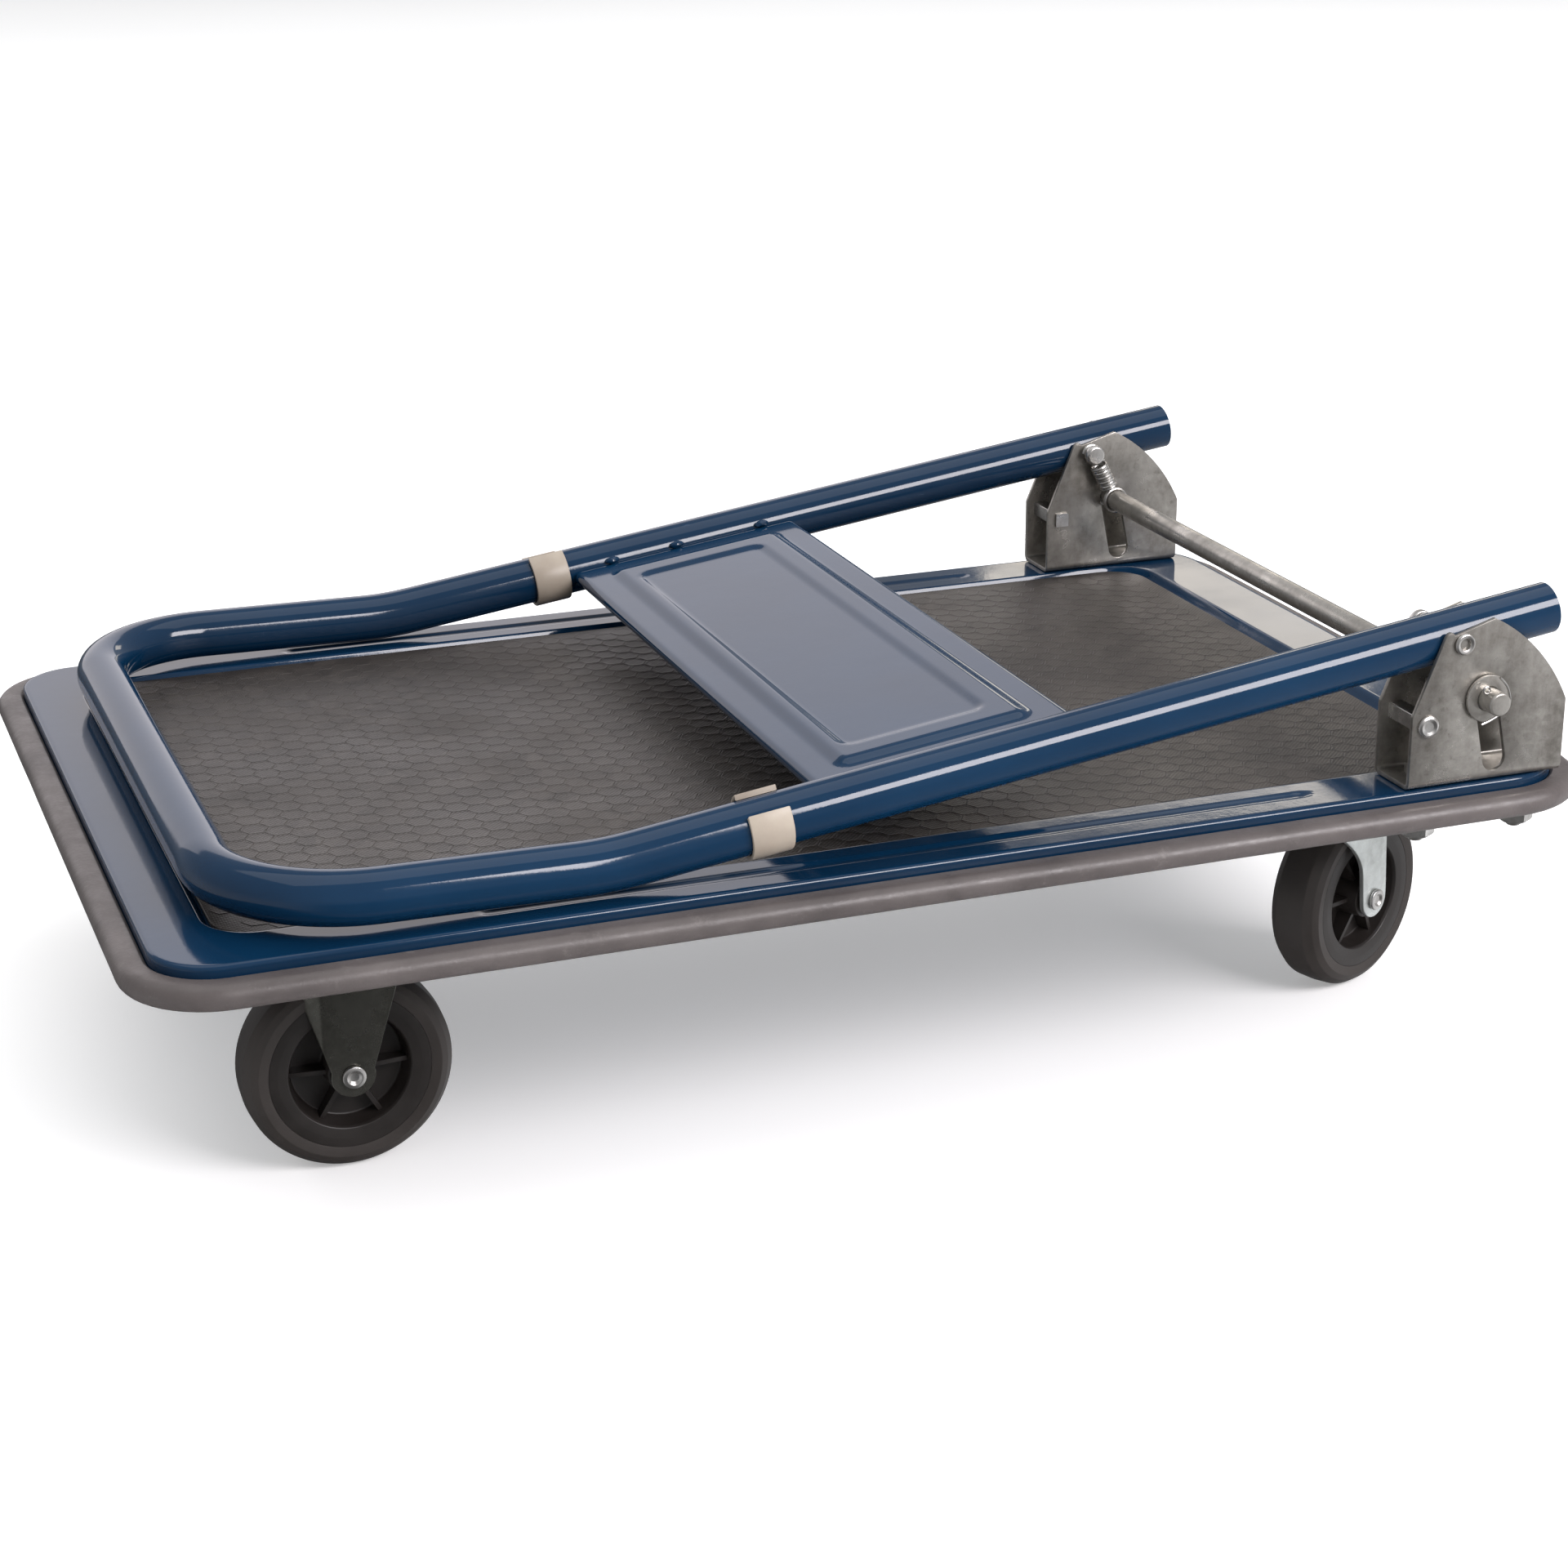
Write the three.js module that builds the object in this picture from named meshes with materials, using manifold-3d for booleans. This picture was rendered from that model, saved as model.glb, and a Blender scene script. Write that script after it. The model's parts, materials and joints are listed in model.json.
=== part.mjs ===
// Folding platform cart: a pressed steel deck on four wheels, with a tubular push handle that
// folds down over the deck. Millimetres, +Z up, ground at z = 0.
// +X points along the deck to the end that carries the handle brackets, and the deck's long
// sides are at -Y (near) and +Y (far). The origin is on the ground below the deck's centre.

import * as THREE from 'three';
import { mergeVertices } from 'three/addons/utils/BufferGeometryUtils.js';
import Module from 'manifold-3d';

const wasm = await Module();
wasm.setup();

// ---------------------------------------------------------------- driving dimensions

const GAP = 0.3;                       // clearance between pieces that touch
const SIDES = [['near', -1], ['far', 1]];

// deck
const CART_LENGTH = 735.4;
const CART_WIDTH = 473.4;
const BUMPER_REACH = 14;               // how far the bumper stands out from the deck
const DECK_TOP = 142;
const SHEET = 1.6;
const SKIRT_BOTTOM = 127.5;
const DECK_CORNER = { low: 30, high: 40 };  // at the -X and +X ends
const DECK_EDGE_ROUND = 3;
const DECK_HALF_X = CART_LENGTH / 2 - BUMPER_REACH;
const DECK_HALF_Y = CART_WIDTH / 2 - BUMPER_REACH;
const RECESS_DEPTH = 4.2;
const RECESS_LOW_X = -DECK_HALF_X + 32;
const RECESS_HIGH_X = DECK_HALF_X - 44.4;
const RECESS_HALF_Y = DECK_HALF_Y - 35;
const RECESS_CORNER = 22;
const RECESS_FLOOR = DECK_TOP - RECESS_DEPTH;
const BEAD_HALF_LENGTH = 208;
const BEAD_Y = 205;
const BEAD_HALF_WIDTH = 4;
const BEAD_DEPTH = 0.8;
const MAT_THICKNESS = 2.4;

// bumper section
const BUMPER_NOSE = 6;
const BUMPER_MID_Z = 131.2;
const BUMPER_HOOK = 4;

// channels under the deck
const WEB_BOTTOM = 121;
const WEB_THICKNESS = 2;
const REAR_CHANNEL = { lowX: 200, highX: 334, halfY: 211 };
const FRONT_CHANNEL = { lowX: -320, highX: -200, halfY: 185 };

// handle brackets
const LEG_Y = 206;                     // middle of each handle leg and bracket
const BRACKET_HALF_WIDTH = 16;
const BRACKET_SHEET = 2.5;
const BRACKET_BEND = 4;
const BRACKET_BASE = DECK_TOP + GAP;
const BRACKET_LOW_X = 254;
const BRACKET_HIGH_X = 341;
const BRACKET_SHOULDER_Z = 180;
const BRACKET_TOP = { lowX: 273, highX: 297, z: 226 };
const BRACKET_ARC_RADIUS = 96;
const BOLT_X = [270, 327];

// fold pivot, stop bar and release rod
const PIVOT = { x: 280, z: 215 };
const PIVOT_HOLE = 4.5;
const STOP_BAR = { x: 262.6, z: 175, half: 4 };
const ROD_RADIUS = 6;
const ROD_HALF_LENGTH = 235;
const ROD_REST = { x: 294.8, z: 186 };
const ROD_TRAVEL = 33;
const SLOT_LEAN = THREE.MathUtils.degToRad(12);
const ROD_END = {
  x: ROD_REST.x + ROD_TRAVEL * Math.sin(SLOT_LEAN),
  z: ROD_REST.z - ROD_TRAVEL * Math.cos(SLOT_LEAN),
};
const SPLIT_PIN_Y = 229;
const SPLIT_PIN_TILT = THREE.MathUtils.degToRad(-37);

// handle
const TUBE_RADIUS = 12.7;
const TUBE_WALL = 1.5;
const LEG_SLOPE = THREE.MathUtils.degToRad(7.8);
const GRIP_SLOPE = THREE.MathUtils.degToRad(-0.8);
const STUB_LENGTH = 57;                // leg beyond the pivot
const KINK_X = -150;
const KINK_RADIUS = 180;
const GRIP_X = -318;
const GRIP_CORNER = 65;
const PANEL = { lowX: -39.2, highX: 87.5, lift: 3, sheet: 1.6, edgeRadius: 3.6, ridge: 2.4 };
const PANEL_HALF_Y = LEG_Y - TUBE_RADIUS - GAP - 0.2;
const CLIP_WIDTH = 20.5;
const CLIP_THICKNESS = 2.2;
const CLIP_X = { near: -75.3, far: -55 };

// casters and wheels
const WHEEL_RADIUS = 50;
const TREAD_WIDTH = 30;
const TYRE_INNER = 38.5;
const HUB_OPENING = 28.5;
const FORK_INNER = 17.2;
const FORK_SHEET = 2.5;
const FORK_OUTER = FORK_INNER + FORK_SHEET;
const AXLE_RADIUS = 4;
const CASTER_Y = 138;
const FIXED_X = -259;
const SWIVEL_X = 250;
const TRAIL = 35;
const SWIVEL_TURN = { near: THREE.MathUtils.degToRad(25), far: 0 };
const PLATE = { halfX: 45, halfY: 33, thickness: 2.7, corner: 8 };
const PLATE_TOP = WEB_BOTTOM - GAP;
const PLATE_BOTTOM = PLATE_TOP - PLATE.thickness;

// ---------------------------------------------------------------- materials

const finish = (color, roughness, metalness) =>
  new THREE.MeshStandardMaterial({ color, roughness, metalness });
const BLUE_ENAMEL = finish(0x1b3f66, 0.28, 0.1);
const MAT_RUBBER = finish(0x5a544e, 0.7, 0);
const BUMPER_RUBBER = finish(0x766c67, 0.65, 0);
const GALVANISED = finish(0x969187, 0.45, 0.85);
const ZINC = finish(0xb9bbb8, 0.3, 0.95);
const TYRE_RUBBER = finish(0x3a3634, 0.75, 0);
const HUB_PLASTIC = finish(0x1c1a1a, 0.55, 0);
const CLIP_PLASTIC = finish(0xcdc1b0, 0.5, 0);

const cart = new THREE.Group();

function addPiece(name, geometry, material, parent = cart) {
  const mesh = new THREE.Mesh(geometry, material);
  mesh.name = name;
  parent.add(mesh);
  return mesh;
}

// ---------------------------------------------------------------- solids

function positionsOnly(geometry) {
  const bare = geometry.clone();
  bare.deleteAttribute('normal');
  bare.deleteAttribute('uv');
  return mergeVertices(bare, 1e-4);
}

function toSolid(geometry) {
  const bare = positionsOnly(geometry);
  return new wasm.Manifold(new wasm.Mesh({
    numProp: 3,
    vertProperties: new Float32Array(bare.attributes.position.array),
    triVerts: new Uint32Array(bare.index.array),
  }));
}

function toGeometry(solid) {
  const { vertProperties, triVerts } = solid.getMesh();
  const geometry = new THREE.BufferGeometry();
  geometry.setAttribute('position', new THREE.BufferAttribute(vertProperties, 3));
  geometry.setIndex(new THREE.BufferAttribute(triVerts, 1));
  geometry.computeVertexNormals();
  return geometry;
}

const join = (...geometries) =>
  toGeometry(geometries.map(toSolid).reduce((whole, piece) => whole.add(piece)));

const cut = (geometry, ...tools) =>
  toGeometry(tools.map(toSolid).reduce((whole, tool) => whole.subtract(tool), toSolid(geometry)));

const common = (first, second) => toGeometry(toSolid(first).intersect(toSolid(second)));

function box(lowX, highX, lowY, highY, lowZ, highZ) {
  const geometry = new THREE.BoxGeometry(highX - lowX, highY - lowY, highZ - lowZ);
  return geometry.translate((lowX + highX) / 2, (lowY + highY) / 2, (lowZ + highZ) / 2);
}

function rodZ(radius, lowZ, highZ, x = 0, y = 0, segments = 12) {
  const geometry = new THREE.CylinderGeometry(radius, radius, highZ - lowZ, segments);
  return geometry.rotateX(Math.PI / 2).translate(x, y, (lowZ + highZ) / 2);
}

function rodY(radius, lowY, highY, x = 0, z = 0, segments = 16) {
  const geometry = new THREE.CylinderGeometry(radius, radius, highY - lowY, segments);
  return geometry.translate(x, (lowY + highY) / 2, z);
}

// a turned piece around Y, from [radius, y] points that start and end on the axis or close up
function turnedY(points, segments) {
  return new THREE.LatheGeometry(points.map(([r, y]) => new THREE.Vector2(r, y)), segments);
}

const turnedZ = (points, segments) => turnedY(points, segments).rotateX(Math.PI / 2);

function ringZ(inner, outer, lowZ, highZ, segments = 16) {
  const corners = [[inner, lowZ], [outer, lowZ], [outer, highZ], [inner, highZ], [inner, lowZ]];
  return turnedZ(corners, segments);
}

// an outline in X and Z, made solid between two Y values
function slabY(shape, lowY, highY, curveSegments = 3) {
  const options = { depth: highY - lowY, bevelEnabled: false, curveSegments };
  return new THREE.ExtrudeGeometry(shape, options).rotateX(Math.PI / 2).translate(0, highY, 0);
}

// an outline in X and Y, made solid between two Z values, with its edges rounded by bevel
function slabZ(shape, lowZ, highZ, curveSegments = 3, bevel = 0) {
  const options = {
    depth: highZ - lowZ - 2 * bevel,
    curveSegments,
    bevelEnabled: bevel > 0,
    bevelThickness: bevel,
    bevelSize: bevel,
    bevelOffset: -bevel,
    bevelSegments: 2,
  };
  return new THREE.ExtrudeGeometry(shape, options).translate(0, 0, lowZ + bevel);
}

function roundedRectangle(lowX, highX, halfY, corner, highCorner = corner) {
  const shape = new THREE.Shape();
  shape.moveTo(lowX + corner, -halfY);
  shape.lineTo(highX - highCorner, -halfY);
  shape.absarc(highX - highCorner, -halfY + highCorner, highCorner, -Math.PI / 2, 0);
  shape.lineTo(highX, halfY - highCorner);
  shape.absarc(highX - highCorner, halfY - highCorner, highCorner, 0, Math.PI / 2);
  shape.lineTo(lowX + corner, halfY);
  shape.absarc(lowX + corner, halfY - corner, corner, Math.PI / 2, Math.PI);
  shape.lineTo(lowX, -halfY + corner);
  shape.absarc(lowX + corner, -halfY + corner, corner, Math.PI, Math.PI * 1.5);
  return shape;
}

// the long round-ended outline between two points
function stadium(start, end, radius) {
  const along = Math.atan2(end.z - start.z, end.x - start.x);
  const shape = new THREE.Shape();
  shape.absarc(end.x, end.z, radius, along - Math.PI / 2, along + Math.PI / 2);
  shape.absarc(start.x, start.z, radius, along + Math.PI / 2, along + Math.PI * 1.5);
  return shape;
}

const hexagon = (acrossFlats, lowZ, highZ) =>
  rodZ(acrossFlats / Math.sqrt(3), lowZ, highZ, 0, 0, 6);

// A path given by its stations, so that straight lengths take one step and bends take several.
class StationPath extends THREE.Curve {
  constructor(stations) {
    super();
    this.stations = stations;
  }

  getUtoTmapping(u) {
    return u;
  }

  getPoint(t, target = new THREE.Vector3()) {
    const place = Math.round(t * (this.stations.length - 1));
    return target.copy(this.stations[place].point);
  }

  getTangent(t, target = new THREE.Vector3()) {
    const place = Math.round(t * (this.stations.length - 1));
    return target.copy(this.stations[place].tangent);
  }
}

function sweep(shape, stations, curveSegments) {
  const options = {
    steps: stations.length - 1,
    extrudePath: new StationPath(stations),
    curveSegments,
  };
  return new THREE.ExtrudeGeometry(shape, options);
}

// ---------------------------------------------------------------- deck, mat and bumper

function deckPan() {
  const top = roundedRectangle(-DECK_HALF_X, DECK_HALF_X, DECK_HALF_Y, DECK_CORNER.low,
    DECK_CORNER.high);
  const below = SKIRT_BOTTOM - 2 * DECK_EDGE_ROUND;
  const outside = slabZ(top, below, DECK_TOP, 3, DECK_EDGE_ROUND);
  const hollow = slabZ(
    roundedRectangle(-DECK_HALF_X + SHEET, DECK_HALF_X - SHEET, DECK_HALF_Y - SHEET,
      DECK_CORNER.low - SHEET, DECK_CORNER.high - SHEET),
    below - 10, DECK_TOP - SHEET, 3, DECK_EDGE_ROUND - 1);
  const underside = box(-CART_LENGTH, CART_LENGTH, -CART_WIDTH, CART_WIDTH, below - 5, SKIRT_BOTTOM);
  const tray = slabZ(
    roundedRectangle(RECESS_LOW_X - SHEET, RECESS_HIGH_X + SHEET, RECESS_HALF_Y + SHEET,
      RECESS_CORNER + SHEET),
    RECESS_FLOOR - SHEET, DECK_TOP - SHEET / 2);
  const recess = slabZ(
    roundedRectangle(RECESS_LOW_X, RECESS_HIGH_X, RECESS_HALF_Y, RECESS_CORNER),
    RECESS_FLOOR, DECK_TOP + 1);
  const beads = SIDES.map(([, side]) => {
    const shape = stadium({ x: -BEAD_HALF_LENGTH, z: 0 }, { x: BEAD_HALF_LENGTH, z: 0 },
      BEAD_HALF_WIDTH);
    return slabZ(shape, DECK_TOP - BEAD_DEPTH, DECK_TOP + 1).translate(0, side * BEAD_Y, 0);
  });
  const boltHoles = SIDES.flatMap(([, side]) => BOLT_X.map((x) =>
    rodZ(AXLE_RADIUS + GAP, DECK_TOP - 2 * SHEET, DECK_TOP + 1, x, side * LEG_Y, 12)));
  const shell = cut(outside, underside, hollow);
  return cut(join(shell, tray), recess, ...beads, ...boltHoles);
}

function antiSlipMat() {
  const outline = roundedRectangle(RECESS_LOW_X + 0.5, RECESS_HIGH_X - 0.5, RECESS_HALF_Y - 0.5,
    RECESS_CORNER - 0.5);
  return slabZ(outline, RECESS_FLOOR + GAP, RECESS_FLOOR + GAP + MAT_THICKNESS);
}

// the stations of the deck's outline, each facing along it, counter-clockwise from above
function deckOutlineStations(stepsPerCorner) {
  const stations = [];
  const centres = [[1, -1, -90], [1, 1, 0], [-1, 1, 90], [-1, -1, 180]];
  for (const [signX, signY, startAngle] of centres) {
    const corner = signX > 0 ? DECK_CORNER.high : DECK_CORNER.low;
    for (let step = 0; step <= stepsPerCorner; step += 1) {
      const angle = THREE.MathUtils.degToRad(startAngle + 90 * step / stepsPerCorner);
      const outward = new THREE.Vector2(Math.cos(angle), Math.sin(angle));
      stations.push({
        x: signX * (DECK_HALF_X - corner) + corner * outward.x,
        y: signY * (DECK_HALF_Y - corner) + corner * outward.y,
        outward,
      });
    }
  }
  return stations;
}

// [distance out from the deck's edge, height] around the bumper's section
function bumperSection() {
  const noseCentre = BUMPER_REACH - BUMPER_NOSE;
  const section = [[GAP, BUMPER_MID_Z + BUMPER_NOSE]];
  const steps = 6;
  for (let step = 0; step <= steps; step += 1) {
    const angle = Math.PI / 2 - Math.PI * step / steps;
    section.push([
      noseCentre + BUMPER_NOSE * Math.cos(angle),
      BUMPER_MID_Z + BUMPER_NOSE * Math.sin(angle),
    ]);
  }
  const bottom = BUMPER_MID_Z - BUMPER_NOSE;
  section.push([-BUMPER_HOOK, bottom], [-BUMPER_HOOK, SKIRT_BOTTOM - GAP], [GAP, SKIRT_BOTTOM - GAP]);
  return section;
}

function edgeBumper() {
  const stations = deckOutlineStations(6);
  const section = bumperSection();
  const positions = [];
  const index = [];
  for (const { x, y, outward } of stations) {
    for (const [out, z] of section) {
      positions.push(x + outward.x * out, y + outward.y * out, z);
    }
  }
  for (let station = 0; station < stations.length; station += 1) {
    const here = station * section.length;
    const next = ((station + 1) % stations.length) * section.length;
    for (let point = 0; point < section.length; point += 1) {
      const after = (point + 1) % section.length;
      index.push(here + point, here + after, next + point);
      index.push(next + point, here + after, next + after);
    }
  }
  const geometry = new THREE.BufferGeometry();
  geometry.setAttribute('position', new THREE.Float32BufferAttribute(positions, 3));
  geometry.setIndex(index);
  return geometry;
}

// a channel across the deck, open upwards, whose walls reach the sheet above them
function crossChannel({ lowX, highX, halfY }, highWallTop, holes) {
  const webTop = WEB_BOTTOM + WEB_THICKNESS;
  const lowWallTop = RECESS_FLOOR - SHEET - GAP;
  const web = box(lowX, highX, -halfY, halfY, WEB_BOTTOM, webTop);
  const lowWall = box(lowX, lowX + WEB_THICKNESS, -halfY, halfY, WEB_BOTTOM, lowWallTop);
  const highWall = box(highX - WEB_THICKNESS, highX, -halfY, halfY, WEB_BOTTOM, highWallTop);
  const channel = join(web, lowWall, highWall);
  return holes.length > 0 ? cut(channel, ...holes) : channel;
}

function rearChannel() {
  const holes = SIDES.flatMap(([, side]) => BOLT_X.map((x) =>
    rodZ(AXLE_RADIUS + GAP, WEB_BOTTOM - 1, WEB_BOTTOM + WEB_THICKNESS + 1, x, side * LEG_Y, 12)));
  return crossChannel(REAR_CHANNEL, DECK_TOP - SHEET - GAP, holes);
}

const frontChannel = () => crossChannel(FRONT_CHANNEL, RECESS_FLOOR - SHEET - GAP, []);

addPiece('deck_pan', deckPan(), BLUE_ENAMEL);
addPiece('anti_slip_mat', antiSlipMat(), MAT_RUBBER);
addPiece('edge_bumper', edgeBumper(), BUMPER_RUBBER);
addPiece('rear_channel', rearChannel(), BLUE_ENAMEL);
addPiece('front_channel', frontChannel(), BLUE_ENAMEL);

// ---------------------------------------------------------------- handle brackets

// the side view of a bracket: straight edges, and an arc down from its top to its +X edge
function bracketOutline() {
  const start = new THREE.Vector2(BRACKET_TOP.highX, BRACKET_TOP.z);
  const end = new THREE.Vector2(BRACKET_HIGH_X, BRACKET_SHOULDER_Z);
  const chord = end.clone().sub(start);
  const middle = start.clone().add(end).multiplyScalar(0.5);
  const toCentre = Math.sqrt(BRACKET_ARC_RADIUS ** 2 - chord.lengthSq() / 4);
  const inward = new THREE.Vector2(chord.y, -chord.x).normalize();
  const centre = middle.addScaledVector(inward, toCentre);
  const startAngle = start.clone().sub(centre).angle();
  const endAngle = end.clone().sub(centre).angle();
  const shape = new THREE.Shape();
  shape.moveTo(BRACKET_LOW_X, BRACKET_BASE);
  shape.lineTo(BRACKET_HIGH_X, BRACKET_BASE);
  shape.lineTo(end.x, end.y);
  shape.absarc(centre.x, centre.y, BRACKET_ARC_RADIUS, endAngle, startAngle);
  shape.lineTo(BRACKET_TOP.lowX, BRACKET_TOP.z);
  shape.lineTo(BRACKET_LOW_X, BRACKET_SHOULDER_Z);
  return shape;
}

// the U section of a bracket, drawn as y and z about the bracket's middle
function bracketSection() {
  const half = BRACKET_HALF_WIDTH;
  const inner = half - BRACKET_SHEET;
  const innerBend = BRACKET_BEND - BRACKET_SHEET;
  const top = BRACKET_TOP.z + 1 - BRACKET_BASE;
  const shape = new THREE.Shape();
  shape.moveTo(-half, top);
  shape.lineTo(-half, BRACKET_BEND);
  shape.absarc(-half + BRACKET_BEND, BRACKET_BEND, BRACKET_BEND, Math.PI, Math.PI * 1.5);
  shape.lineTo(half - BRACKET_BEND, 0);
  shape.absarc(half - BRACKET_BEND, BRACKET_BEND, BRACKET_BEND, -Math.PI / 2, 0);
  shape.lineTo(half, top);
  shape.lineTo(inner, top);
  shape.lineTo(inner, BRACKET_BEND);
  shape.absarc(half - BRACKET_BEND, BRACKET_BEND, innerBend, 0, -Math.PI / 2, true);
  shape.lineTo(-half + BRACKET_BEND, BRACKET_SHEET);
  shape.absarc(-half + BRACKET_BEND, BRACKET_BEND, innerBend, -Math.PI / 2, -Math.PI, true);
  shape.lineTo(-inner, top);
  return shape;
}

function bracket(side) {
  const depth = BRACKET_HIGH_X - BRACKET_LOW_X + 2;
  const options = { depth, bevelEnabled: false, curveSegments: 2 };
  const channel = new THREE.ExtrudeGeometry(bracketSection(), options)
    .rotateX(Math.PI / 2)
    .rotateZ(Math.PI / 2)
    .translate(BRACKET_LOW_X - 1, side * LEG_Y, BRACKET_BASE);
  const half = BRACKET_HALF_WIDTH + 2;
  const lowY = side * LEG_Y - half;
  const highY = side * LEG_Y + half;
  const innerLow = side > 0 ? lowY : side * LEG_Y;
  const outerLow = side > 0 ? side * LEG_Y : lowY;
  const profile = slabY(bracketOutline(), lowY, highY, 4);
  const pivotHole = rodY(PIVOT_HOLE, lowY, highY, PIVOT.x, PIVOT.z, 16);
  const slot = slabY(stadium(ROD_REST, ROD_END, ROD_RADIUS + GAP), lowY, highY);
  const reach = STOP_BAR.half + GAP;
  const squareHole = box(STOP_BAR.x - reach, STOP_BAR.x + reach, innerLow, innerLow + half,
    STOP_BAR.z - reach, STOP_BAR.z + reach);
  const roundHole = rodY(reach, outerLow, outerLow + half, STOP_BAR.x, STOP_BAR.z, 16);
  const boltHoles = BOLT_X.map((x) =>
    rodZ(AXLE_RADIUS + GAP, BRACKET_BASE - 1, BRACKET_BASE + BRACKET_SHEET + 1, x, side * LEG_Y, 12));
  return cut(common(channel, profile), pivotHole, slot, squareHole, roundHole, ...boltHoles);
}

// turned about Y from the middle of the bracket outwards, then placed on its own side
function onBracket(geometry, side, x, z) {
  if (side < 0) {
    geometry.rotateZ(Math.PI);
  }
  return geometry.translate(x, side * LEG_Y, z);
}

// headed inside the bracket, with a neck for the spring's hook, and flared hollow outside
function pivotRivet(side) {
  const face = BRACKET_HALF_WIDTH;
  const shank = PIVOT_HOLE - GAP;
  const profile = [
    [0, -face - 10.5], [6, -face - 10.5], [6, -face - 6], [shank, -face - 6], [shank, face + GAP],
    [5.2, face + GAP], [5.2, face + 2.2], [2.5, face + 2.2], [2.5, face - 2], [0, face - 2],
  ];
  return onBracket(turnedY(profile, 12), side, PIVOT.x, PIVOT.z);
}

// a square bar across the bracket, square-ended through its inner plate, riveted over outside
function stopBar(side) {
  const face = BRACKET_HALF_WIDTH;
  const inside = face - BRACKET_SHEET - GAP;
  const half = STOP_BAR.half;
  const bar = box(-half, half, -face - 2, inside, -half, half);
  const shank = rodY(half, inside - 1, face + 1, 0, 0, 16);
  const head = rodY(5.8, face + GAP, face + 2.2, 0, 0, 16);
  return onBracket(join(bar, shank, head), side, STOP_BAR.x, STOP_BAR.z);
}

const BOLT_HEAD_Z = BRACKET_BASE + BRACKET_SHEET + GAP;
const WASHER_TOP = WEB_BOTTOM - GAP;
const WASHER_THICKNESS = 1.8;
const WASHER_RADIUS = 11.5;
const NUT_TOP = WASHER_TOP - WASHER_THICKNESS - GAP;
const NUT_HEIGHT = 6.5;

function bracketBolt() {
  const head = hexagon(13, BOLT_HEAD_Z, BOLT_HEAD_Z + 5);
  const shank = rodZ(AXLE_RADIUS, NUT_TOP - NUT_HEIGHT - 2, BOLT_HEAD_Z + 1, 0, 0, 12);
  return join(head, shank);
}

const bracketWasher = () =>
  ringZ(AXLE_RADIUS + GAP, WASHER_RADIUS, WASHER_TOP - WASHER_THICKNESS, WASHER_TOP, 20);

function bracketNut() {
  const bore = rodZ(AXLE_RADIUS + GAP, NUT_TOP - NUT_HEIGHT - 1, NUT_TOP + 1, 0, 0, 12);
  return cut(hexagon(16, NUT_TOP - NUT_HEIGHT, NUT_TOP), bore);
}

for (const [label, side] of SIDES) {
  addPiece(`bracket_${label}`, bracket(side), GALVANISED);
  addPiece(`pivot_rivet_${label}`, pivotRivet(side), ZINC);
  addPiece(`stop_bar_${label}`, stopBar(side), ZINC);
  BOLT_X.forEach((x, place) => {
    const number = place + 1;
    const y = side * LEG_Y;
    addPiece(`bracket_bolt_${label}_${number}`, bracketBolt(), ZINC).position.set(x, y, 0);
    addPiece(`bracket_washer_${label}_${number}`, bracketWasher(), ZINC).position.set(x, y, 0);
    addPiece(`bracket_nut_${label}_${number}`, bracketNut(), ZINC).position.set(x, y, 0);
  });
}

// ---------------------------------------------------------------- handle

const legHeight = (x) => PIVOT.z + (x - PIVOT.x) * Math.tan(LEG_SLOPE);

// a bend between two directions, as stations on the arc that touches both straight lengths
function bendStations(corner, before, after, radius, steps) {
  const turn = before.angleTo(after);
  const reach = radius * Math.tan(turn / 2);
  const start = corner.clone().addScaledVector(before, -reach);
  const axis = before.clone().cross(after).normalize();
  const toCentre = axis.clone().cross(before).normalize();
  const centre = start.clone().addScaledVector(toCentre, radius);
  const stations = [];
  for (let step = 0; step <= steps; step += 1) {
    const angle = turn * step / steps;
    const arm = toCentre.clone().multiplyScalar(-radius).applyAxisAngle(axis, angle);
    stations.push({
      point: centre.clone().add(arm),
      tangent: before.clone().applyAxisAngle(axis, angle),
    });
  }
  return stations;
}

// from the far leg's free end, along the leg, across the grip and back to the near leg's end
function handleStations() {
  const legAway = new THREE.Vector3(-Math.cos(LEG_SLOPE), 0, -Math.sin(LEG_SLOPE));
  const gripAway = new THREE.Vector3(-Math.cos(GRIP_SLOPE), 0, -Math.sin(GRIP_SLOPE));
  const across = new THREE.Vector3(0, -1, 0);
  const kinkZ = legHeight(KINK_X);
  const gripZ = kinkZ + (GRIP_X - KINK_X) * Math.tan(GRIP_SLOPE);
  const endX = PIVOT.x + STUB_LENGTH * Math.cos(LEG_SLOPE);
  const kink = (y) => new THREE.Vector3(KINK_X, y, kinkZ);
  const gripCorner = (y) => new THREE.Vector3(GRIP_X, y, gripZ);
  const end = (y) => new THREE.Vector3(endX, y, legHeight(endX));
  const back = (direction) => direction.clone().negate();
  return [
    { point: end(LEG_Y), tangent: legAway },
    ...bendStations(kink(LEG_Y), legAway, gripAway, KINK_RADIUS, 2),
    ...bendStations(gripCorner(LEG_Y), gripAway, across, GRIP_CORNER, 6),
    ...bendStations(gripCorner(-LEG_Y), across, back(gripAway), GRIP_CORNER, 6),
    ...bendStations(kink(-LEG_Y), back(gripAway), back(legAway), KINK_RADIUS, 2),
    { point: end(-LEG_Y), tangent: back(legAway) },
  ];
}

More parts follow.
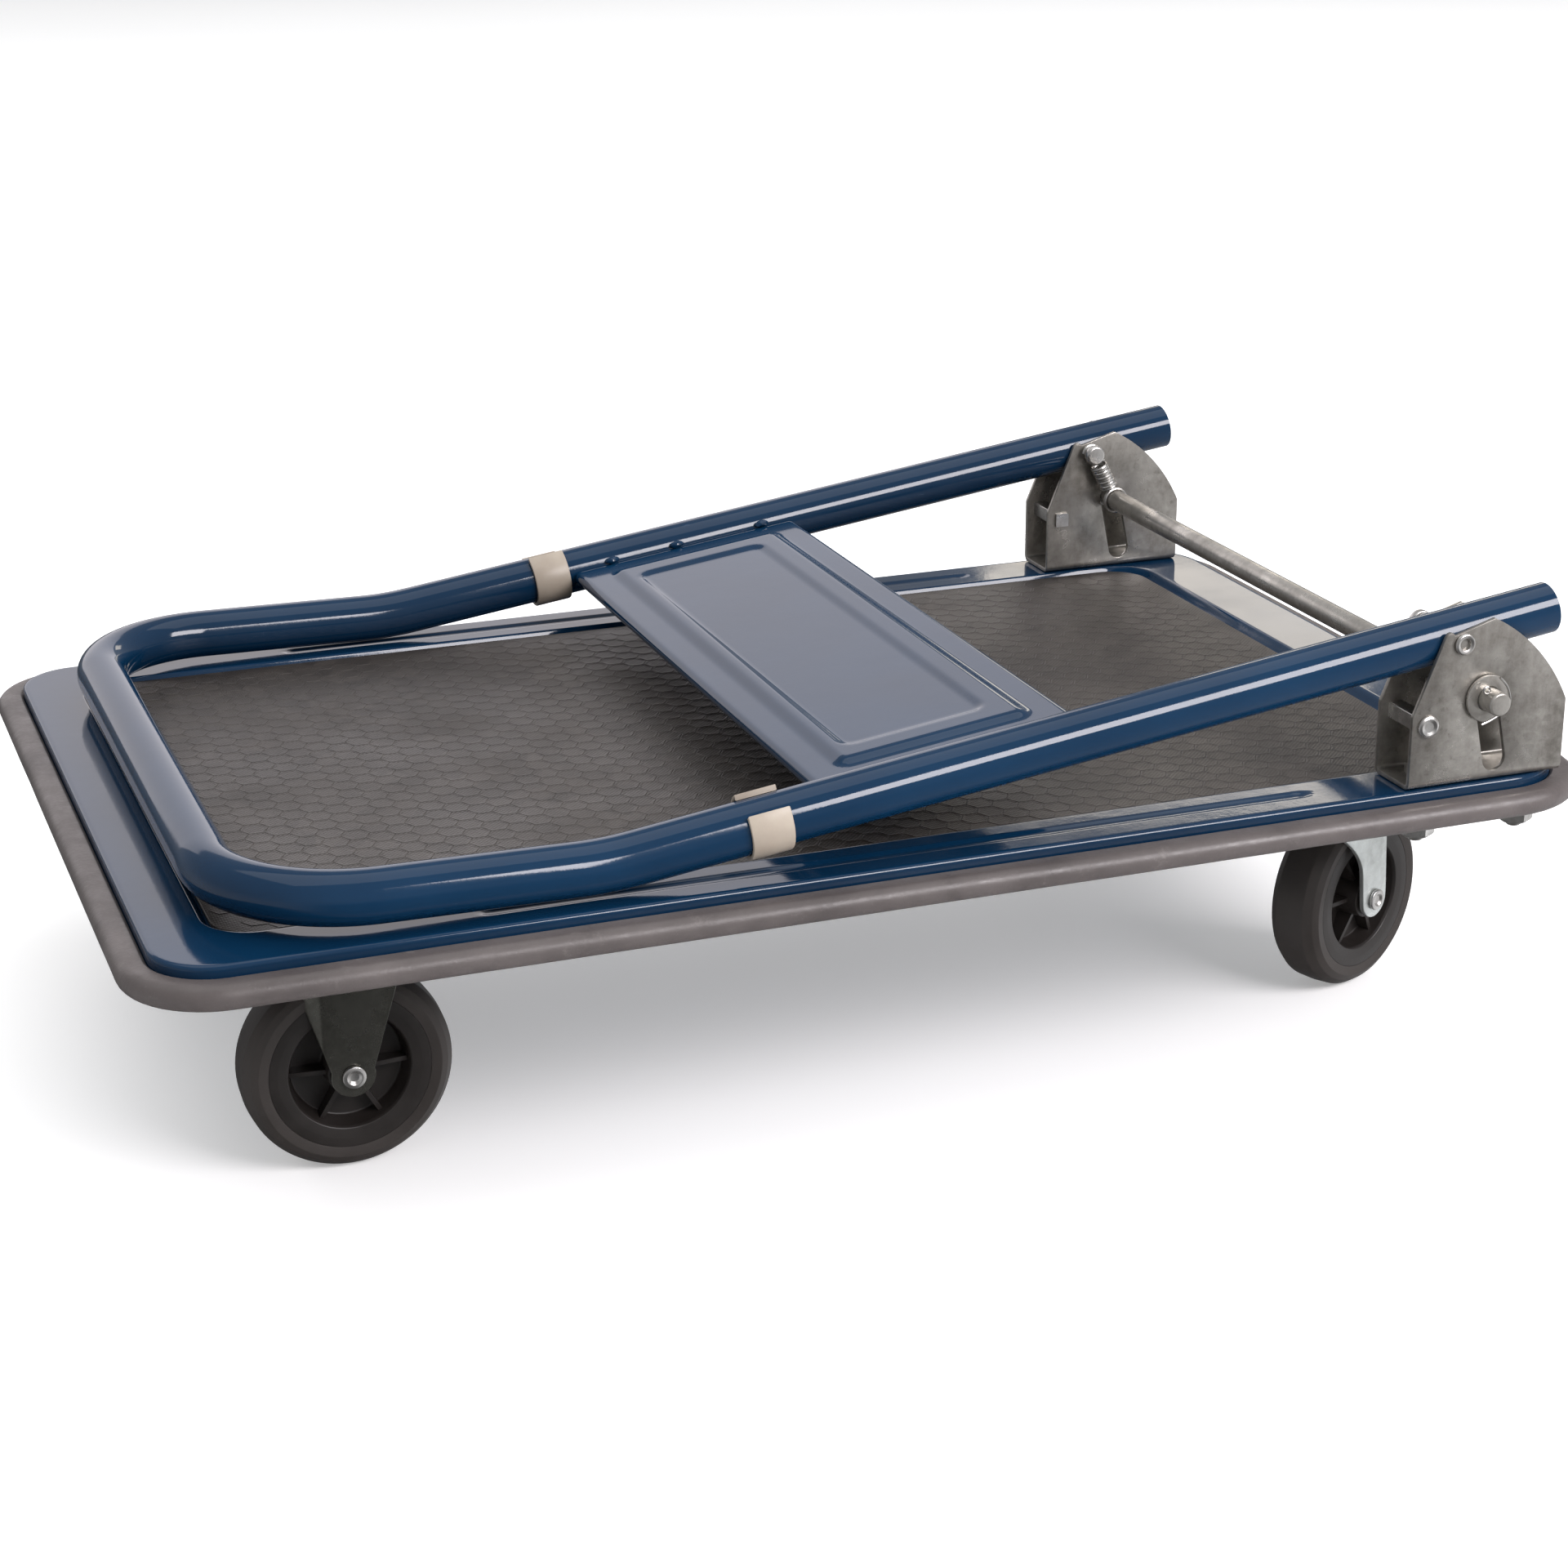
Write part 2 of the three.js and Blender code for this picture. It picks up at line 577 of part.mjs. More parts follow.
function handleTube() {
  const section = new THREE.Shape();
  section.absarc(0, 0, TUBE_RADIUS, 0, Math.PI * 2);
  const bore = new THREE.Path();
  bore.absarc(0, 0, TUBE_RADIUS - TUBE_WALL, 0, Math.PI * 2, true);
  section.holes.push(bore);
  const tube = sweep(section, handleStations(), 8);
  const holes = SIDES.map(([, side]) =>
    rodY(PIVOT_HOLE, side * LEG_Y - 20, side * LEG_Y + 20, PIVOT.x, PIVOT.z, 16));
  return cut(tube, ...holes);
}

// pieces on the legs are drawn level, with x along the leg, and tilted about the pivot
function alongLegs(geometry) {
  return geometry.rotateY(-LEG_SLOPE).translate(PIVOT.x, 0, PIVOT.z);
}

const alongLeg = (x) => (x - PIVOT.x) / Math.cos(LEG_SLOPE);

function crossPanel() {
  const low = alongLeg(PANEL.lowX);
  const high = alongLeg(PANEL.highX);
  const top = PANEL.lift;
  const bottom = top - PANEL.sheet;
  const half = PANEL_HALF_Y;
  const plate = box(low, high, -half, half, bottom, top);
  const edges = [low, high].map((x) =>
    rodY(PANEL.edgeRadius, -half, half, x, top - PANEL.edgeRadius, 14));
  const flanges = SIDES.map(([, side]) => {
    const outer = side * half;
    const inner = side * (half - PANEL.sheet);
    return box(low, high, Math.min(inner, outer), Math.max(inner, outer), top - 8, top);
  });
  const ridge = cut(
    slabZ(roundedRectangle(low + 14, high - 14, half - 24, 8), bottom + 0.2, top + PANEL.ridge, 3),
    slabZ(roundedRectangle(low + 27, high - 33, half - 37, 6), bottom, top + PANEL.ridge + 1, 3));
  return alongLegs(join(plate, ...edges, ...flanges, ridge));
}

// a C-shaped clip under the leg, open upwards and outwards
function clip(label, side) {
  const inner = TUBE_RADIUS + GAP;
  const outer = inner + CLIP_THICKNESS;
  const openFrom = THREE.MathUtils.degToRad(40);
  const openTo = THREE.MathUtils.degToRad(108);
  const shape = new THREE.Shape();
  shape.absarc(0, 0, outer, openTo, openFrom + Math.PI * 2);
  shape.absarc(0, 0, inner, openFrom + Math.PI * 2, openTo, true);
  const geometry = new THREE.ExtrudeGeometry(shape,
    { depth: CLIP_WIDTH, bevelEnabled: false, curveSegments: 9 });
  geometry.translate(0, 0, -CLIP_WIDTH / 2).rotateX(Math.PI / 2).rotateZ(Math.PI / 2);
  if (side < 0) {
    geometry.rotateZ(Math.PI);
  }
  geometry.translate(alongLeg(CLIP_X[label]), side * LEG_Y, 0);
  return alongLegs(geometry);
}

addPiece('handle_tube', handleTube(), BLUE_ENAMEL);
addPiece('cross_panel', crossPanel(), BLUE_ENAMEL);
for (const [label, side] of SIDES) {
  addPiece(`leg_clip_${label}`, clip(label, side), CLIP_PLASTIC);
}

// ---------------------------------------------------------------- release rod and springs

function releaseRod() {
  const chamfer = 1;
  const half = ROD_HALF_LENGTH;
  const rod = turnedY([
    [0, -half], [ROD_RADIUS - chamfer, -half], [ROD_RADIUS, -half + chamfer],
    [ROD_RADIUS, half - chamfer], [ROD_RADIUS - chamfer, half], [0, half],
  ], 20);
  const holes = SIDES.map(([, side]) =>
    rodZ(1.6, -10, 10, 0, 0, 10).rotateY(SPLIT_PIN_TILT).translate(0, side * SPLIT_PIN_Y, 0));
  return cut(rod, ...holes);
}

function rodWasher(side) {
  const inner = ROD_RADIUS + GAP;
  const low = LEG_Y + BRACKET_HALF_WIDTH + GAP;
  const high = low + 2;
  const ring = turnedY([[inner, low], [12, low], [12, high], [inner, high], [inner, low]], 16);
  return side < 0 ? ring.rotateZ(Math.PI) : ring;
}

const splitPin = (side) =>
  rodZ(1.2, -9, 11, 0, 0, 8).rotateY(SPLIT_PIN_TILT).translate(0, side * SPLIT_PIN_Y, 0);

const rodGroup = new THREE.Group();
rodGroup.position.set(ROD_REST.x, 0, ROD_REST.z);
cart.add(rodGroup);
addPiece('release_rod', releaseRod(), GALVANISED, rodGroup);
for (const [label, side] of SIDES) {
  addPiece(`rod_washer_${label}`, rodWasher(side), ZINC, rodGroup);
  addPiece(`split_pin_${label}`, splitPin(side), ZINC, rodGroup);
}

// the outer shape of a tension spring between the pivot rivet's neck and the rod, drawn
// downwards from the rivet with a loop at each end
function spring(side) {
  const span = Math.hypot(ROD_REST.x - PIVOT.x, ROD_REST.z - PIVOT.z);
  const lean = Math.atan2(ROD_REST.x - PIVOT.x, PIVOT.z - ROD_REST.z);
  const coilY = LEG_Y - BRACKET_HALF_WIDTH - 6.8;
  const hookY = LEG_Y - BRACKET_HALF_WIDTH - 3.2;
  const coil = rodZ(6.2, -span + ROD_RADIUS + 1.4, -6.6, 0, coilY, 12);
  const ring = (inner, outer, y, z) => turnedY([
    [inner, y - 1.2], [outer, y - 1.2], [outer, y + 1.2], [inner, y + 1.2], [inner, y - 1.2],
  ], 12).translate(0, 0, z);
  const upperLoop = ring(PIVOT_HOLE + GAP, 7.6, hookY, 0);
  const lowerLoop = ring(ROD_RADIUS + GAP, ROD_RADIUS + 2.4, coilY, -span);
  const whole = join(coil, upperLoop, lowerLoop).rotateY(-lean);
  if (side < 0) {
    whole.scale(1, -1, 1);
    whole.index.array.reverse();
  }
  return whole.translate(PIVOT.x, 0, PIVOT.z);
}

for (const [label, side] of SIDES) {
  addPiece(`release_spring_${label}`, spring(side), ZINC);
}

// ---------------------------------------------------------------- wheels

function tyre() {
  const half = TREAD_WIDTH / 2;
  const shoulder = [[0.88, 1], [0.965, 0.72], [1, 0]];
  const profile = [[TYRE_INNER, -half], ...shoulder.map(([r, y]) => [r * WHEEL_RADIUS, -y * half])];
  const mirrored = profile.slice(0, -1).reverse().map(([r, y]) => [r, -y]);
  return turnedY([...profile, ...mirrored, profile[0]], 32);
}

// a rim, a thin web and a boss, stiffened by six ribs on each side of the web
function hub() {
  const rim = TYRE_INNER - GAP;
  const boss = 11;
  const bore = 6.3;
  const profile = [
    [bore, -16], [boss, -16], [boss, -2], [HUB_OPENING, -2], [HUB_OPENING, -13.5], [rim, -13.5],
    [rim, 13.5], [HUB_OPENING, 13.5], [HUB_OPENING, 2], [boss, 2], [boss, 16], [bore, 16],
    [bore, -16],
  ];
  const ribs = [0, 1, 2, 3, 4, 5].map((place) =>
    box(boss - 1, HUB_OPENING + 1, -11, 11, -1.6, 1.6).rotateY(place * Math.PI / 3));
  return join(turnedY(profile, 20), ...ribs);
}

const axleSleeve = () => turnedY([
  [AXLE_RADIUS + GAP, -16.8], [6, -16.8], [6, 16.8], [AXLE_RADIUS + GAP, 16.8],
  [AXLE_RADIUS + GAP, -16.8],
], 12);

// the bolt with its nut run up tight, as one turned-together piece
function axleBolt() {
  const headStart = FORK_OUTER + GAP;
  const shank = rodY(AXLE_RADIUS, -FORK_OUTER - 8, FORK_OUTER + 2, 0, 0, 14);
  const head = hexagon(13, headStart, headStart + 5).rotateX(-Math.PI / 2);
  const nut = hexagon(13, -headStart - 6.5, -headStart).rotateX(-Math.PI / 2);
  return join(shank, head, nut);
}

function addWheel(label, parent) {
  addPiece(`tyre_${label}`, tyre(), TYRE_RUBBER, parent);
  addPiece(`hub_${label}`, hub(), HUB_PLASTIC, parent);
  addPiece(`axle_sleeve_${label}`, axleSleeve(), ZINC, parent);
  addPiece(`axle_bolt_${label}`, axleBolt(), ZINC, parent);
}

// ---------------------------------------------------------------- casters

// a fork leg, drawn as x and z about the axle: round at the axle, wider where it is held
function forkLegs(outline, axleX) {
  const legs = [-FORK_OUTER, FORK_INNER].map((lowY) => slabY(outline, lowY, lowY + FORK_SHEET));
  const hole = rodY(AXLE_RADIUS + GAP, -FORK_OUTER - 2, FORK_OUTER + 2, axleX, WHEEL_RADIUS, 14);
  return cut(join(...legs), hole);
}

function fixedFork() {
  const endRadius = 10.5;
  const topHalf = 28.5;
  const outline = new THREE.Shape();
  outline.moveTo(-topHalf, PLATE_BOTTOM + 1);
  outline.lineTo(-topHalf, PLATE_BOTTOM - 6);
  outline.lineTo(-endRadius, WHEEL_RADIUS + 6);
  outline.absarc(0, WHEEL_RADIUS, endRadius, Math.PI * 0.9, Math.PI * 2.1);
  outline.lineTo(topHalf, PLATE_BOTTOM - 6);
  outline.lineTo(topHalf, PLATE_BOTTOM + 1);
  const plateOutline = roundedRectangle(-PLATE.halfX, PLATE.halfX, PLATE.halfY, PLATE.corner);
  const plate = slabZ(plateOutline, PLATE_BOTTOM, PLATE_TOP, 2);
  return join(plate, forkLegs(outline, 0));
}

const RACE_BOTTOM = PLATE_BOTTOM - 4.6;
const CROWN_TOP = RACE_BOTTOM - GAP;
const CROWN_BOTTOM = CROWN_TOP - 3.4;

// the swivel's top plate, with the dished race under it that the kingpin goes through
function swivelPlate() {
  const outline = roundedRectangle(-PLATE.halfX, PLATE.halfX, PLATE.halfY, PLATE.corner);
  const plate = slabZ(outline, PLATE_BOTTOM, PLATE_TOP, 2);
  const race = turnedZ([
    [0, RACE_BOTTOM], [24, RACE_BOTTOM], [29, PLATE_BOTTOM], [29, PLATE_BOTTOM + 1],
    [0, PLATE_BOTTOM + 1],
  ], 18);
  const headRoom = rodZ(9.4, PLATE_BOTTOM - 1.5, PLATE_TOP + 1);
  const hole = rodZ(5.3, RACE_BOTTOM - 1, PLATE_TOP);
  return cut(join(plate, race), headRoom, hole);
}

function kingpin() {
  return turnedZ([
    [0, CROWN_BOTTOM - 2.8], [8, CROWN_BOTTOM - 2.8], [8, CROWN_BOTTOM - GAP],
    [5, CROWN_BOTTOM - GAP], [5, PLATE_BOTTOM - 1.2], [9, PLATE_BOTTOM - 1.2], [9, PLATE_TOP - 0.4],
    [0, PLATE_TOP - 0.4],
  ], 12);
}

function swivelFork() {
  const endRadius = 10;
  const rearX = TRAIL + endRadius;
  const topRearX = rearX - 4.2;
  const outline = new THREE.Shape();
  outline.moveTo(-16, CROWN_TOP);
  outline.lineTo(-16, CROWN_BOTTOM - 1);
  outline.lineTo(TRAIL - 25, WHEEL_RADIUS + 37);
  outline.quadraticCurveTo(TRAIL - 12, WHEEL_RADIUS + 26, TRAIL - 11.5, WHEEL_RADIUS + 14);
  outline.absarc(TRAIL, WHEEL_RADIUS, endRadius, Math.PI * 1.03, Math.PI * 2);
  outline.lineTo(rearX, WHEEL_RADIUS + 4);
  outline.lineTo(topRearX, CROWN_TOP);
  const crown = join(
    rodZ(25, CROWN_BOTTOM, CROWN_TOP, 0, 0, 20),
    box(-12, topRearX, -FORK_OUTER, FORK_OUTER, CROWN_BOTTOM, CROWN_TOP));
  const hole = rodZ(5.3, CROWN_BOTTOM - 1, CROWN_TOP + 1);
  return cut(join(crown, forkLegs(outline, TRAIL)), hole);
}

for (const [label, side] of SIDES) {
  const fixed = new THREE.Group();
  fixed.position.set(FIXED_X, side * CASTER_Y, 0);
  addPiece(`fixed_fork_${label}`, fixedFork(), GALVANISED, fixed);
  const fixedWheel = new THREE.Group();
  fixedWheel.position.set(0, 0, WHEEL_RADIUS);
  addWheel(`fixed_${label}`, fixedWheel);
  fixed.add(fixedWheel);
  cart.add(fixed);

  const swivel = new THREE.Group();
  swivel.position.set(SWIVEL_X, side * CASTER_Y, 0);
  addPiece(`swivel_plate_${label}`, swivelPlate(), GALVANISED, swivel);
  addPiece(`kingpin_${label}`, kingpin(), ZINC, swivel);
  const turning = new THREE.Group();
  turning.rotation.z = SWIVEL_TURN[label];
  addPiece(`swivel_fork_${label}`, swivelFork(), GALVANISED, turning);
  const swivelWheel = new THREE.Group();
  swivelWheel.position.set(TRAIL, 0, WHEEL_RADIUS);
  addWheel(`swivel_${label}`, swivelWheel);
  turning.add(swivelWheel);
  swivel.add(turning);
  cart.add(swivel);
}

export default cart;
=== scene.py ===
import json
import math

import bmesh
import bpy
from mathutils import Matrix, Vector, noise


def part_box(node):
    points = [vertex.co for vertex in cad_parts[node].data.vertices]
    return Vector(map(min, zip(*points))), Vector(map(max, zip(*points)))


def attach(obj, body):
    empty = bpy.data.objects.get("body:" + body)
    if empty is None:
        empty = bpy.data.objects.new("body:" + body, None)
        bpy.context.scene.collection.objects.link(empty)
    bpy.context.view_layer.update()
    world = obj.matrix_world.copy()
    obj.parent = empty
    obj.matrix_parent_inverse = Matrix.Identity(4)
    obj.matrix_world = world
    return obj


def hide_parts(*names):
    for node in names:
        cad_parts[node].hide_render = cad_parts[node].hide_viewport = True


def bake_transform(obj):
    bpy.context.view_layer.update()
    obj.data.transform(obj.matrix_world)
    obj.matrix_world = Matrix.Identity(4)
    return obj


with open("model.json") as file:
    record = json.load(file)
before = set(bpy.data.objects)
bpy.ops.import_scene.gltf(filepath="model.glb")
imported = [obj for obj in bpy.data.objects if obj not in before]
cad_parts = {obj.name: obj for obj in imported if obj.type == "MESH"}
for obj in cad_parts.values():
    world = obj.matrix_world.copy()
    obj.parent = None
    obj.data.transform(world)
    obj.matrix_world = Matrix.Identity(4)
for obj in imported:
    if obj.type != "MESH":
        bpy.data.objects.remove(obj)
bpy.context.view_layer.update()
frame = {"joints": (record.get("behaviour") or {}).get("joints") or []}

# Folding platform cart. Lengths are in millimetres and become metres in build_mesh.
# +X points along the deck to the handle brackets, -Y is the near long side, +Z is up.

MM = 0.001
SIDES = {"near": -1, "far": 1}
SHARP_ANGLE = math.radians(25)


def corners(node):
    """Lowest and highest corner of a CAD node, in millimetres."""
    low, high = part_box(node)
    return low / MM, high / MM


def middle(node):
    low, high = corners(node)
    return (low + high) / 2


def above(node):
    """Moves things from the Z axis to the vertical line through a node's middle."""
    x, y, _ = middle(node)
    return Matrix.Translation((x, y, 0))


def joint(name):
    return next(j for j in frame["joints"] if j["name"] == name)


# ------------------------------------------------------------ sizes taken from the frame

DECK_LOW, DECK_HIGH = corners("deck_pan")
MAT_LOW, MAT_HIGH = corners("anti_slip_mat")
BUMPER_LOW, BUMPER_HIGH = corners("edge_bumper")
BRACKET_LOW, BRACKET_HIGH = corners("bracket_far")
TUBE_LOW, TUBE_HIGH = corners("handle_tube")
ROD_LOW, ROD_HIGH = corners("release_rod")
PIVOT = Vector(joint("handle_raise")["pos_m"]) / MM
ROD_AXIS = Vector(joint("release_rod_slide")["axis"])
ROD_TRAVEL = joint("release_rod_slide")["range_m"][1] / MM
ROD_REST = middle("release_rod")
ROD_RADIUS = (ROD_HIGH.z - ROD_LOW.z) / 2
LEG_Y = (BRACKET_LOW.y + BRACKET_HIGH.y) / 2
BRACKET_HALF = (BRACKET_HIGH.y - BRACKET_LOW.y) / 2
TUBE_RADIUS = TUBE_HIGH.y - LEG_Y

# sizes of sheet, bends and small features, and the clearance between pieces that touch
GAP = 0.3
SHEET = 1.6
DECK_CORNER_LOW = 30
DECK_CORNER_HIGH = 40
DECK_EDGE = 2.2
MAT_CORNER = 21.5
BEAD_HALF_LENGTH = 204
BEAD_Y = 205
BEAD_HALF_WIDTH = 4.5
BEAD_DEPTH = 1.1
BRACKET_SHEET = 2.5
BRACKET_BEND = 4
LEG_SLOPE = math.radians(7.8)
GRIP_SLOPE = math.radians(-0.8)
KINK_X = -150
KINK_RADIUS = 180
GRIP_CORNER = 65
TUBE_SIDES = 48
WHEEL_RADIUS = 50
CASTER_SHEET = 2.7
CASTER_HOLE_INSET = 9
FORK_INNER = 17.2
FORK_SHEET = 2.5


# ------------------------------------------------------------ mesh helpers

def build_mesh(points, faces, smooth=True):
    """A mesh from points in millimetres, welded, with its faces turned outwards."""
    mesh = bpy.data.meshes.new("mesh")
    mesh.from_pydata([tuple(c * MM for c in p) for p in points], [], faces)
    work = bmesh.new()
    work.from_mesh(mesh)
    bmesh.ops.remove_doubles(work, verts=work.verts, dist=1e-7)
    bmesh.ops.recalc_face_normals(work, faces=work.faces)
    work.to_mesh(mesh)
    work.free()
    return shade(mesh) if smooth else mesh


def shade(mesh):
    mesh.shade_smooth()
    mesh.set_sharp_from_angle(angle=SHARP_ANGLE)
    return mesh


def loft(rings, closed=False):
    """Skins closed rings of equal length. An open row of rings is capped at both ends."""
    count = len(rings[0])
    points = [p for ring in rings for p in ring]
    faces = []
    rows = len(rings) if closed else len(rings) - 1
    for row in range(rows):
        here = row * count
        there = (row + 1) % len(rings) * count
        for i in range(count):
            j = (i + 1) % count
            faces.append((here + i, here + j, there + j, there + i))
    if not closed:
        faces.append(tuple(reversed(range(count))))
        faces.append(tuple(range(len(points) - count, len(points))))
    return points, faces


def merged(*parts):
    """Several (points, faces) pairs as one."""
    points = []
    faces = []
    for part_points, part_faces in parts:
        start = len(points)
        points.extend(part_points)
        faces.extend(tuple(start + i for i in face) for face in part_faces)
    return points, faces


def moved(part, matrix):
    points, faces = part
    return [matrix @ Vector(p) for p in points], faces


def mirrored(part):
    """The same piece on the other long side."""
    points, faces = part
    return [(p[0], -p[1], p[2]) for p in points], faces


def arc(x, y, radius, start, end, steps):
    """Points on an arc, from start to end in degrees."""
    points = []
    for step in range(steps + 1):
        angle = math.radians(start + (end - start) * step / steps)
        points.append((x + radius * math.cos(angle), y + radius * math.sin(angle)))
    return points


def rounded(corner_list, steps=4):
    """A closed outline from (x, y, radius) corners, each rounded to its radius."""
    outline = []
    count = len(corner_list)
    for i, (x, y, radius) in enumerate(corner_list):
        here = Vector((x, y))
        if radius == 0:
            outline.append((x, y))
            continue
        before = (Vector(corner_list[i - 1][:2]) - here).normalized()
        after = (Vector(corner_list[(i + 1) % count][:2]) - here).normalized()
        half = before.angle(after) / 2
        reach = radius / math.tan(half)
        centre = here + (before + after).normalized() * radius / math.sin(half)
        start = here + before * reach - centre
        turn = (here + after * reach - centre).angle_signed(start)
        for step in range(steps + 1):
            angle = turn * step / steps
            outline.append(tuple(centre + Matrix.Rotation(angle, 2) @ start))
    return outline


def rounded_pair(first, second, beyond, before, steps=4):
    """Two rounded corners in a row, with the points that their outer sides run to."""
    return rounded([first, second, beyond, before], steps)[:2 * (steps + 1)]


def rounded_rectangle(low_x, high_x, low_y, high_y, radius, steps):
    return rounded([(low_x, low_y, radius), (high_x, low_y, radius), (high_x, high_y, radius),
                    (low_x, high_y, radius)], steps)


def both_ends(half):
    """One end of a profile and its mirror image, as one list of corners."""
    return [(radius, -along, size) for radius, along, size in reversed(half)] + half


def lathe(profile, segments=48):
    """Turns an outline of (radius, height) points about Z."""
    rings = []
    for step in range(segments):
        angle = 2 * math.pi * step / segments
        rings.append([(r * math.cos(angle), r * math.sin(angle), h) for r, h in profile])
    return loft(rings, closed=True)


TO_Y = Matrix.Rotation(-math.pi / 2, 4, "X")


def lathe_y(profile, side, x, z, segments=48):
    """Turns (radius, outward distance) points about Y, from the cart's middle outwards."""
    turned = moved(lathe(profile, segments), Matrix.Translation((x, 0, z)) @ TO_Y)
    return turned if side > 0 else mirrored(turned)


def offset_loop(loop, distance):
    """Moves a closed outline to its left by distance, with mitred corners."""
    count = len(loop)
    result = []
    for i in range(count):
        here = Vector(loop[i])
        before = (here - Vector(loop[i - 1])).normalized()
        after = (Vector(loop[(i + 1) % count]) - here).normalized()
        normal = Vector((-before.y - after.y, before.x + after.x)).normalized()
        stretch = max(0.3, normal.dot(Vector((-after.y, after.x))))
        result.append(tuple(here + normal * distance / stretch))
    return result


def area(loop):
    return sum(a[0] * b[1] - b[0] * a[1] for a, b in zip(loop, loop[1:] + loop[:1])) / 2


def wound(loop, positive):
    return loop if (area(loop) > 0) == positive else loop[::-1]


def plate(outline, holes, low, high, edge=0.3):
    """A flat plate in X and Y between two heights, with holes and softened edges."""
    loops = [wound(outline, True)] + [wound(hole, False) for hole in holes]
    work = bmesh.new()
    caps = {low: [], high: []}
    for loop in loops:
        inner = offset_loop(loop, edge)
        levels = [(inner, low), (loop, low + edge), (loop, high - edge), (inner, high)]
        rings = [[work.verts.new((x, y, h)) for x, y in ring] for ring, h in levels]
        count = len(loop)
        for lower, upper in zip(rings, rings[1:]):
            for i in range(count):
                j = (i + 1) % count
                work.faces.new((lower[i], lower[j], upper[j], upper[i]))
        for level, ring in ((low, rings[0]), (high, rings[-1])):
            for i in range(count):
                caps[level].append(work.edges.get((ring[i], ring[(i + 1) % count])))
    for level in (low, high):
        bmesh.ops.triangle_fill(work, edges=caps[level], use_beauty=True)
    bmesh.ops.recalc_face_normals(work, faces=work.faces)
    work.verts.index_update()
    points = [tuple(v.co) for v in work.verts]
    faces = [tuple(v.index for v in f.verts) for f in work.faces]
    work.free()
    return points, faces


def evaluated(mesh, set_up):
    """The mesh after the modifiers that set_up adds to a passing object."""
    holder = bpy.data.objects.new("passing", mesh)
    bpy.context.collection.objects.link(holder)
    helpers = set_up(holder)
    bpy.context.view_layer.update()
    graph = bpy.context.evaluated_depsgraph_get()
    result = bpy.data.meshes.new_from_object(holder.evaluated_get(graph))
    for obj in [holder, *helpers]:
        bpy.data.objects.remove(obj)
    return result


def boolean(mesh, operation, cutters):
    """Cuts or intersects a mesh with other meshes, one after the other."""
    def set_up(holder):
        helpers = []
        for cutter in cutters:
            helper = bpy.data.objects.new("cutter", cutter)
            bpy.context.collection.objects.link(helper)
            modifier = holder.modifiers.new("boolean", "BOOLEAN")
            modifier.operation = operation
            modifier.solver = "EXACT"
            modifier.object = helper
            helpers.append(helper)
        return helpers
    return evaluated(mesh, set_up)


def softened(mesh, width, segments=2):
    """Rounds every edge sharper than 40 degrees."""
    def set_up(holder):
        modifier = holder.modifiers.new("bevel", "BEVEL")
        modifier.width = width * MM
        modifier.segments = segments
        modifier.limit_method = "ANGLE"
        modifier.angle_limit = math.radians(40)
        return []
    return shade(evaluated(mesh, set_up))


def sweep(path, section, closed=False):
    """Carries a closed 2-D section along a path without twisting it."""
    path = [Vector(p) for p in path]
    count = len(path)
    tangents = []
    for i in range(count):
        ahead = path[(i + 1) % count] if closed or i < count - 1 else path[i]
        behind = path[i - 1] if closed or i > 0 else path[i]
        tangents.append((ahead - behind).normalized())
    side = tangents[0].orthogonal().normalized()
    rings = []
    for i in range(count):
        if i > 0:
            side = tangents[i - 1].rotation_difference(tangents[i]) @ side
        up = tangents[i].cross(side)
        rings.append([path[i] + side * x + up * y for x, y in section])
    return loft(rings, closed=closed)


def circle(radius, segments):
    return arc(0, 0, radius, 0, 360 * (segments - 1) / segments, segments - 1)


def hexagon(across_flats):
    return arc(0, 0, across_flats / math.sqrt(3), 0, 300, 5)


def prism_y(outline, low_y, high_y):
    """An outline in X and Z made solid between two Y values."""
    return loft([[(x, y, z) for x, z in outline] for y in (low_y, high_y)])


def smoothstep(low, high, value):
    t = min(1, max(0, (value - low) / (high - low)))
    return t * t * (3 - 2 * t)


def piece(name, shape, look, body, nodes=()):
    """A finished piece: it rides on a CAD body and stands for CAD nodes.

    The shape is a mesh or a (points, faces) pair, the look a (material, slot) pair; the slot is not used.
    """
    mesh = build_mesh(*shape) if isinstance(shape, tuple) else shape
    material, slot = look
    mesh.name = name
    mesh.materials.clear()
    mesh.materials.append(material)
    obj = bpy.data.objects.new(name, mesh)
    bpy.context.collection.objects.link(obj)
    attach(obj, body)
    if nodes:
        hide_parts(*nodes)
    return obj


# ------------------------------------------------------------ materials

